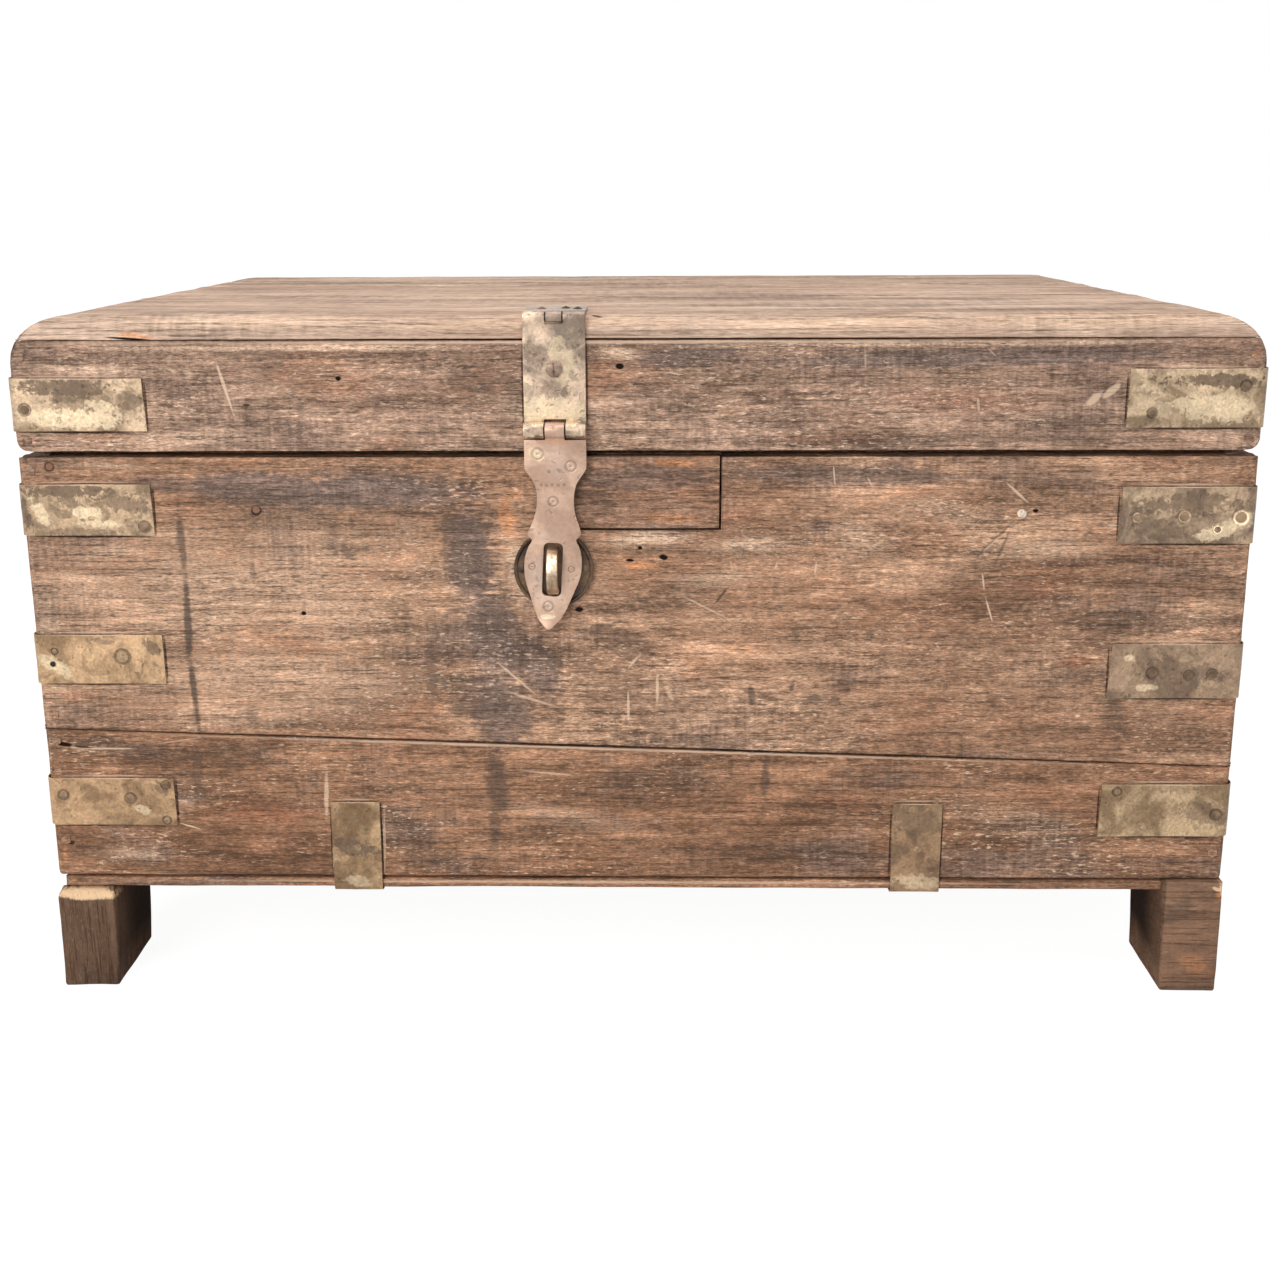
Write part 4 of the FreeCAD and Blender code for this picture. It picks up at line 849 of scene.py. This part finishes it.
# the block's outer shell: the two faces turned away from the wood and the bend between them
def bentSheet(name, low, high, axis, away, bend):
    piece = addBlock(name, low, high)
    across = [k for k in (0, 1, 2) if k != axis]
    corner = [high[k] if away[k] > 0 else low[k] for k in range(3)]
    roundEdges(piece, axis, bend, 6, lambda spot: all(abs(spot[k] - corner[k]) < 1e-6 for k in across))
    choose(piece, "FACE", lambda face: abs(face.normal[axis]) > 0.5
           or any(face.normal[k] * away[k] < -0.5 for k in across))
    bpy.ops.mesh.delete(type="FACE")
    leave()
    for k in (0, 1, 2):
        cutAcross(piece, k, spread(low[k], high[k], strapShape["step"]))
    return piece


def hammered(piece, direction):
    look = strapShape
    thicken(piece, look["thickness"], -1.0)
    wobble(piece, look["wave"], look["waveSize"], 0.5, direction)
    soften(piece, look["arris"], 1, 50)
    wobble(piece, look["dent"], look["dentSize"])


def cornerStrap(node, body, material):
    look = strapShape
    low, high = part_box(node)
    left, rear = low.x < 0, high.y > 0
    away = [-1 if left else 1, 1 if rear else -1, 0]
    if left:
        low.x += look["sink"]
    else:
        high.x -= look["sink"]
    piece = bentSheet(pieceName(node), low, high, 2, away, look["bend"])
    if node in frontStraps:   # the end was not cut quite square
        end = high.x if left else low.x
        turnParts(piece, lambda vert: abs(vert.co.x - end) < 1e-5, frontStraps[node]["turn"],
                  (end, low.y, (low.z + high.z) / 2))
    hammered(piece, "Z")
    return finishPiece(piece, body, [node], material)


# heads: place, the way it faces, radius, how far it stands out
def nailHeads(name, body, heads, material):
    copies = []
    for place, facing, radius, rise in heads:
        head = addDrum("nailHead", 12, radius, rise * 1.2)
        inset(head, lambda face: face.normal.z > 0.9, (radius * 0.4, (0, 0, rise * 0.4)))
        turn = Vector(facing).to_track_quat("Z", "Y").to_matrix().to_4x4()
        head.data.transform(Matrix.Translation(Vector(place)) @ turn)
        copies.append(head)
    clearSelection()
    for head in copies:
        head.select_set(True)
    bpy.context.view_layer.objects.active = copies[0]
    bpy.ops.object.join()
    piece = bpy.context.active_object
    piece.name = name
    piece.data.name = name
    return finishPiece(piece, body, [], material)


def topHighlight(low, high):   # a painted highlight along a strap's upper edge
    return ("edge", low.x, high.z - 0.0004, high.x, high.z - 0.0004, 0.0007, 0.9)


def buildStraps():
    heads = {"chest": [], "lid": []}
    plain = metalMaterial("plainStrapBrass", varied(strapLook, seed=71.0))
    for node in sorted(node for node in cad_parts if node.startswith(("strap_", "lid_strap_"))):
        body = "lid" if node.startswith("lid") else "chest"
        low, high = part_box(node)
        side, rear = (1 if low.x > 0 else -1), high.y > 0
        middleZ, rise = (low.z + high.z) / 2, strapShape["headRise"]
        if rear:
            material = plain
            faces = [(side * x, middleZ + lift, strapShape["headRadius"]) for x, lift in strapShape["backHeads"]]
        else:
            strap = frontStraps[node]
            faces = strap["heads"]
            # a painted highlight along the strap's upper edge and a painted shadow line along its lower edge
            marks = strap["marks"] + [topHighlight(low, high), ("crack", low.x, low.z + 0.0003, high.x, low.z + 0.0003,
                                                            0.0006, 0.6)]
            material = metalMaterial(pieceName(node) + "Brass", varied(strapLook, **strap["look"]), marks, chestFront,
                                     [(x, z, radius * 1.45) for x, z, radius in faces])
        cornerStrap(node, body, material)
        for x, z, radius in faces:
            heads[body].append(((x, high.y if rear else low.y, z), (0, 1 if rear else -1, 0), radius, rise))
        for share, lift in strapShape["sideHeads"]:
            inward = share * (high.y - low.y)
            y = high.y - inward if rear else low.y + inward
            heads[body].append(((side * (chestEnd + strapShape["clear"]), y, middleZ + lift), (side, 0, 0),
                                strapShape["headRadius"], rise))
    return heads


def buildBaseStraps(heads):
    for node, strap in baseStraps.items():
        low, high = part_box(node)
        outward = (0, 1 if high.y > 0 else -1, 0)
        material = metalMaterial(pieceName(node) + "Brass", varied(strapLook, **strap["look"]),
                                 strap["marks"] + [topHighlight(low, high)], chestFront)
        piece = bentSheet(pieceName(node), low, high, 0, [0, outward[1], -1], strapShape["baseBend"])
        hammered(piece, "X")
        finishPiece(piece, "chest", [node], material)
        aside, height, radius = strapShape["baseHead"]
        place = ((low.x + high.x) / 2 + aside, high.y if high.y > 0 else low.y, height)
        heads.append((place, outward, radius, strapShape["headRise"]))


strapNailMetal = metalMaterial("strapNailMetal", varied(nailLook, light=(164, 138, 110), dark=(108, 86, 66)))
strapNails = buildStraps()
buildBaseStraps(strapNails["chest"])
nailHeads("bodyStrapNails", "chest", strapNails["chest"], strapNailMetal)
nailHeads("lidStrapNails", "lid", strapNails["lid"], strapNailMetal)
nailHeads("frontNail", "chest", [((0.2965, chestFront, 0.4019), (0, -1, 0), 0.0035, 0.0022)],
          metalMaterial("paleNail", varied(nailLook, seed=47.0, dark=(196, 172, 150), light=(238, 220, 200),
                                           metallic=0.1)))
print("straps nailed on")


# Hasp. Three sheets rolled round two pins, the lowest one cut to its outline and slotted for the staple.

haspShape = {
    "middle": -0.059, "width": 0.047, "sheet": 0.0020, "round": 0.0005,
    "topPin": Vector((0, -0.25235, 0.5528)), "topRoll": 0.0035, "topKnuckle": 0.0060, "topGap": 0.0008,
    "lowPin": Vector((0, -0.25995, 0.4680)), "lowKnuckle": 0.0073, "lowGap": 0.0010, "window": 0.0076,
    "plateY": -0.25475, "bendZ": 0.5470, "topBack": -0.20750, "topZ": 0.5561, "topCut": -0.2468,
    "lowTurn": 305, "topTurn": 255, "leafTurn": 335, "backTurn": -285,   # degrees that each knuckle is rolled
    "reach": 0.009, "topReach": 0.0052, "bend": 0.0034, "tongue": 0.004, "cross": 0.006,
    "dent": 0.0003, "dentSize": 0.012,
}
leafShape = {
    "sheet": 0.0030, "round": 0.0007, "y": -0.25905, "top": 0.4608, "roll": 0.0045, "dent": 0.0003, "dentSize": 0.02,
    # below the rim, half the width, how far it has drifted left, how far forward; millimetres
    "stations": [
        (-8, 23.5, 0, 0), (5, 23.6, 0, 0), (9, 23.3, 0, 0), (12, 21.4, 0, 0), (15, 19.2, 0, 0), (18, 17.2, 0, 0),
        (21, 15.7, 0.1, 0), (26, 14.5, 0.2, 0), (31, 14.1, 0.3, 0), (37, 14.2, 0.5, 0), (42, 14.9, 0.7, 0),
        (48, 16.6, 0.9, 0), (54, 18.9, 1.2, 0), (57.5, 20.0, 1.4, 0), (60.3, 20.1, 1.6, 0), (62.2, 18.6, 1.8, 0),
        (64, 16.9, 1.9, 0), (66.3, 17.6, 2.1, 0), (69, 19.2, 2.3, 0), (73, 20.7, 2.5, 0), (78, 21.8, 2.8, 0),
        (84, 22.2, 3.1, 0), (89, 22.0, 3.3, 0), (94, 21.3, 3.6, 0), (99, 19.9, 4.0, 0), (105, 17.7, 4.4, 0),
        (112, 15.1, 4.9, 0.1), (119, 12.6, 5.5, 0.2), (124, 10.4, 6.0, 0.3), (127, 8.9, 6.3, 0.9),
        (129.5, 6.9, 6.6, 2.0), (132.5, 4.0, 6.9, 3.6), (135, 1.2, 7.2, 4.6)],
    "slot": {"x": -0.0626, "z": 0.3593, "width": 0.0149, "length": 0.0425, "corner": 0.0040, "turn": -3.4},
    "rings": millimetres(
        (-72.4, 450, 5), (-47.2, 440.5, 4.8), (-61, 413, 4.4), (-48, 359.6, 2.8), (-78.2, 361.8, 2.8),
        (-66.1, 330, 4.6),
        (-64, 436.5, 1.2), (-55.5, 436.8, 1.2), (-70, 426.2, 1), (-66, 425.8, 1), (-61.5, 426.2, 1), (-57, 425.8, 1),
        (-52.5, 426.2, 1)),
}


def addSheet(name, middle, size, turn=(0, 0, 0)):
    clearSelection()
    bpy.ops.mesh.primitive_plane_add(size=1, location=middle, rotation=turn)
    piece = bpy.context.active_object
    piece.scale = (size[0], size[1], 1)
    return named(name)


def sheetEdge(edge, axis, place, low=-1.0, high=1.0):   # an edge along X at this height or depth
    spot = middle(edge)
    return runsAlong(edge, 0) and abs(spot[axis] - place) < 1e-5 and low < spot.x < high


def stretch(piece, test, *steps):
    choose(piece, "EDGE", test)
    for step in steps:
        bpy.ops.mesh.extrude_region_move(TRANSFORM_OT_translate={"value": step})
    leave()


def rollUp(piece, test, centre, degrees, steps=16):
    choose(piece, "EDGE", test)
    bpy.ops.mesh.spin(steps=steps, angle=math.radians(degrees), center=centre, axis=(1, 0, 0))
    leave()


# takes a block away, turned in the plane of the front, its corners rounded
def cutOut(piece, low, high, degrees=0.0, corner=0.0):
    tool = addBlock("cutTool", low, high)
    if corner:
        roundEdges(tool, 1, corner, 4)
    if degrees:
        turnParts(tool, lambda vert: True, degrees, (Vector(low) + Vector(high)) / 2)
    carve(piece, tool)
    discard(tool)


def settle(piece):   # joins what lies together and turns every face outwards
    choose(piece, "FACE", lambda face: True)
    bpy.ops.mesh.select_all(action="SELECT")
    bpy.ops.mesh.remove_doubles(threshold=1e-6)
    bpy.ops.mesh.normals_make_consistent(inside=False)
    leave()


def buildMiddleLeaf(material):
    look = haspShape
    x, top, low = look["middle"], look["topPin"], look["lowPin"]
    z0, z1 = low.z, look["bendZ"]
    piece = addSheet("haspMiddleLeaf", (x, look["plateY"], (z0 + z1) / 2), (look["width"], z1 - z0),
                     (math.radians(90), 0, 0))
    rollUp(piece, lambda edge: sheetEdge(edge, 2, z0), low, look["lowTurn"], 20)
    forward = top.y - look["topRoll"] - look["plateY"]
    stretch(piece, lambda edge: sheetEdge(edge, 2, z1), (0, forward, look["bend"]),
            (0, 0, top.z - z1 - look["bend"]))
    rollUp(piece, lambda edge: sheetEdge(edge, 2, top.z) and middle(edge).y < top.y - 0.001, top,
           look["topTurn"], 14)
    settle(piece)
    thicken(piece, look["sheet"])
    gap = look["lowKnuckle"] + look["lowGap"]
    reach = look["reach"]
    cutOut(piece, (x - gap, low.y - reach, low.z - reach),
           (x + gap, look["plateY"] + look["tongue"], low.z + look["window"]))
    gap = look["topKnuckle"] + look["topGap"]
    cutOut(piece, (x - gap, top.y - reach, top.z - look["topReach"]), (x + gap, top.y + reach, top.z + reach))
    soften(piece, look["round"])
    cutAcross(piece, 2, spread(z0, z1, look["cross"]))
    wobble(piece, look["dent"], look["dentSize"], 0.5)
    return finishPiece(piece, "lid", ["hasp_middle_leaf"], material, 32)


def buildTopLeaf(material):
    look = haspShape
    x, top, tongue = look["middle"], look["topPin"], look["tongue"]
    y0, y1 = look["topCut"], look["topBack"]
    piece = addSheet("haspTopLeaf", (x, (y0 + y1) / 2, look["topZ"]), (look["width"], y1 - y0))
    cutAcross(piece, 0, [x - look["topKnuckle"], x + look["topKnuckle"]])
    stretch(piece, lambda edge: sheetEdge(edge, 1, y0, x - tongue, x + tongue),
            (0, top.y - y0, top.z + look["topRoll"] - look["topZ"]))
    rollUp(piece, lambda edge: sheetEdge(edge, 1, top.y, x - tongue, x + tongue), top,
           look["backTurn"], 16)
    settle(piece)
    thicken(piece, look["sheet"])
    soften(piece, look["round"])
    return finishPiece(piece, "lid", ["hasp_top_leaf"], material, 32)


def buildLeaf(material):
    look, shape = leafShape, haspShape
    x, y, pin = shape["middle"], look["y"], shape["lowPin"]
    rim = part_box("front_upper_board")[1].z
    first = look["stations"][0]
    z = rim - first[0] / 1000
    piece = addSheet("haspLeaf", (x, y, (look["top"] + z) / 2), (2 * first[1] / 1000, look["top"] - z),
                     (math.radians(90), 0, 0))
    choose(piece, "EDGE", lambda edge: sheetEdge(edge, 2, z))
    before = first
    for station in look["stations"][1:]:
        down, half, drift, forward = station
        step = ((before[2] - drift) / 1000, (before[3] - forward) / 1000, (before[0] - down) / 1000)
        bpy.ops.mesh.extrude_region_move(TRANSFORM_OT_translate={"value": step})
        bpy.ops.transform.resize(value=(half / before[1], 1, 1),
                                 center_override=(x - drift / 1000, y - forward / 1000, rim - down / 1000))
        before = station
    leave()
    knuckle = shape["lowKnuckle"]
    cutAcross(piece, 0, [x - knuckle, x + knuckle])
    stretch(piece, lambda edge: sheetEdge(edge, 2, look["top"], x - knuckle, x + knuckle),
            (0, pin.y - y, pin.z - look["roll"] - look["top"]))
    rollUp(piece, lambda edge: sheetEdge(edge, 2, pin.z - look["roll"], x - knuckle, x + knuckle), pin,
           shape["leafTurn"], 20)
    settle(piece)
    thicken(piece, look["sheet"])
    slot = look["slot"]
    cutOut(piece, (slot["x"] - slot["width"] / 2, y - 0.01, slot["z"] - slot["length"] / 2),
           (slot["x"] + slot["width"] / 2, y + 0.01, slot["z"] + slot["length"] / 2), slot["turn"], slot["corner"])
    soften(piece, look["round"])
    wobble(piece, look["dent"], look["dentSize"], 0.5)
    return finishPiece(piece, "hasp", ["hasp_leaf"], material, 32)


# Staple and its plate

stapleShape = {"x": -0.062, "z": 0.3585, "width": 0.0086, "bar": 0.0034, "round": 0.0009, "bowY": -0.25905,
               "bowRadius": 0.0168, "inside": -0.2297, "tail": 0.0158}
plateShape = {"radius": 0.0309, "back": -0.25365, "front": -0.25660, "rim": 0.0022, "sunk": 0.0012,
              "slope": 0.0012, "boss": 0.0080, "bossRise": 0.0006,
              "middle": 0.004, "round": 0.0004,
              "dent": 0.0004, "dentSize": 0.015}


def buildStaple(material):
    look = stapleShape
    x, z, y, radius, inside = look["x"], look["z"], look["bowY"], look["bowRadius"], look["inside"]
    piece = addSheet("stapleBow", (x, (inside + y) / 2, z + radius), (look["width"], inside - y))
    rollUp(piece, lambda edge: sheetEdge(edge, 1, y), Vector((x, y, z)), -180, 24)
    stretch(piece, lambda edge: sheetEdge(edge, 2, z - radius), (0, inside - y, 0), (0, 0, -look["tail"]))
    stretch(piece, lambda edge: sheetEdge(edge, 1, inside) and middle(edge).z > z, (0, 0, look["tail"]))
    settle(piece)
    thicken(piece, look["bar"])
    soften(piece, look["round"], 3)
    return finishPiece(piece, "chest", ["staple"], material, 50)


def buildPlate(material):
    look = plateShape
    shape = stapleShape
    depth = look["back"] - look["front"]
    piece = addDrum("staplePlate", 72, look["radius"], depth, (shape["x"], look["back"] - depth / 2, shape["z"]), 90)
    inset(piece, lambda face: face.normal.y < -0.9, (look["rim"], None), (look["slope"], (0, look["sunk"], 0)),
          (look["boss"], (0, -look["bossRise"], 0)), (look["middle"], None))
    soften(piece, look["round"], 2, 30)
    wobble(piece, look["dent"], look["dentSize"])
    return finishPiece(piece, "chest", ["staple_plate"], material, 30)


screwShape = {"radius": 0.0062, "rise": 0.0019, "dome": 0.0008, "slot": 0.0011, "cut": 0.0012, "turn": 4.0,
              "slope": 0.35, "length": 0.01, "round": 0.0003}


def buildScrew(material):
    look = screwShape
    low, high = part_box("hasp_screw")
    centre = (low + high) / 2
    faceY = haspShape["plateY"] - haspShape["sheet"] / 2
    piece = addDrum("haspScrewHead", 32, look["radius"], look["rise"] * 2, (centre.x, faceY, centre.z), 90)
    inset(piece, lambda face: face.normal.y < -0.9, (look["radius"] * look["slope"], (0, -look["dome"], 0)))
    front = faceY - look["rise"] - look["dome"]
    cutOut(piece, (centre.x - look["slot"] / 2, front - 0.001, centre.z - look["length"]),
           (centre.x + look["slot"] / 2, front + look["cut"], centre.z + look["length"]), look["turn"])
    soften(piece, look["round"])
    return finishPiece(piece, "lid", ["hasp_screw"], material, 35)


def buildHasp():
    brass = metalMaterial("haspBrass", haspLook, haspMarks, chestFront)
    buildMiddleLeaf(brass)
    buildTopLeaf(metalMaterial("haspTopBrass", varied(haspLook, seed=10.0, light=(196, 166, 148))))
    buildLeaf(metalMaterial("leafMetal", leafLook, leafMarks, chestFront, leafShape["rings"]))
    buildStaple(metalMaterial("stapleSteel", stapleLook, stapleMarks, stapleShape["bowY"]))
    buildPlate(metalMaterial("plateBrass", plateLook))
    buildScrew(metalMaterial("screwMetal", varied(nailLook, seed=43.0, dark=(118, 98, 84), light=(186, 160, 140))))


buildHasp()
print("hasp, staple and plate made")


# CAD nodes whose shapes are right as they are, in their own finishes

def dress(material, *nodes):
    for node in nodes:
        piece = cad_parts[node]
        piece.data.materials.clear()
        piece.data.materials.append(material)


def dressNodes():
    peg = varied(woodLook, seed=81.0, flecks=0.2, brown=(128, 97, 76), tan=(158, 124, 100))
    dress(woodMaterial("pegWood", peg), "carcass_pegs")
    dress(woodMaterial("lidPegWood", varied(peg, brown=(136, 109, 92), tan=(170, 139, 118))), "lid_pegs")
    iron = metalMaterial("blackIron", ironLook)
    dress(iron, "hinge_left_body_leaf", "hinge_left_lid_leaf", "hinge_right_body_leaf", "hinge_right_lid_leaf",
          "hinge_pins", "foot_nails")
    dress(metalMaterial("nailIron", nailLook), "body_nails", "lid_nails", "hasp_pins")


dressNodes()
print("ironwork dressed")


# Stage, light and camera

stageLook = {
    "camera": (0.0199, -1.2779, 0.6400), "yaw": 1.047, "pitch": 78.08, "roll": -0.273,
    "lens": 38.83, "sensor": 36.0, "shiftY": -0.1173,
    "floorSize": 30.0, "floorColour": (0.93, 0.93, 0.93, 1.0),
    "floorShare": 0.8, "floorGlow": 1.17,   # what the camera sees of it: mostly white, with the shadow left in
    "ambient": 0.38,
    "lamps": [  # name, place, aim, size, watts
        ("topLamp", (0.1, -0.5, 2.6), (0.0, 0.05, 0.4), 2.4, 40.0),
        ("frontLamp", (-1.6, -2.9, 1.7), (-0.1, -0.2, 0.3), 2.2, 62.0),
    ],
}


def seenRays(sheet):   # 1 for what the camera sees: straight, in a reflection or through something
    straight, mirrored, through = [sheet.add("ShaderNodeLightPath", {}, {}, f"Is {kind} Ray")
                                   for kind in ("Camera", "Glossy", "Transmission")]
    return straight.larger(mirrored).larger(through)


def buildStage():
    look = stageLook
    bpy.ops.mesh.primitive_plane_add(size=look["floorSize"], location=(0, 0, 0))
    floor = bpy.context.active_object
    floor.name = "floor"
    sheet = Sheet("paleFloor")
    sheet.set("Base Color", look["floorColour"])
    sheet.set("Roughness", 0.9)
    glow = sheet.add("ShaderNodeEmission", {}, {"Color": (1, 1, 1, 1), "Strength": look["floorGlow"]})
    both = sheet.add("ShaderNodeMixShader", {}, {0: seenRays(sheet) * look["floorShare"],
                                                 1: Wire(sheet, sheet.shader.outputs[0]), 2: glow})
    output = next(node for node in sheet.tree.nodes if node.type == "OUTPUT_MATERIAL")
    sheet.tree.links.new(both.socket, output.inputs["Surface"])
    floor.data.materials.append(sheet.material)

    world = bpy.data.worlds.new("studio")
    bpy.context.scene.world = world
    sheet = Sheet("studio", world)
    sheet.set("Color", (1, 1, 1, 1))
    sheet.set("Strength", seenRays(sheet) * (1 - look["ambient"]) + look["ambient"])

    for name, place, aim, size, watts in look["lamps"]:
        data = bpy.data.lights.new(name, "AREA")
        data.shape = "DISK"
        data.size = size
        data.energy = watts
        lamp = bpy.data.objects.new(name, data)
        lamp.location = place
        lamp.rotation_euler = (Vector(aim) - Vector(place)).to_track_quat("-Z", "Y").to_euler()
        bpy.context.scene.collection.objects.link(lamp)

    data = bpy.data.cameras.new("view")
    data.lens, data.sensor_width = look["lens"], look["sensor"]
    data.shift_y = look["shiftY"]
    camera = bpy.data.objects.new("view", data)
    camera.location = look["camera"]
    turns = [Matrix.Rotation(math.radians(look[key]), 4, axis)
             for key, axis in (("yaw", "Z"), ("pitch", "X"), ("roll", "Z"))]
    camera.rotation_euler = (turns[0] @ turns[1] @ turns[2]).to_euler()
    bpy.context.scene.collection.objects.link(camera)
    bpy.context.scene.camera = camera
    bpy.context.scene.view_settings.view_transform = "Standard"


buildStage()
print("stage set")
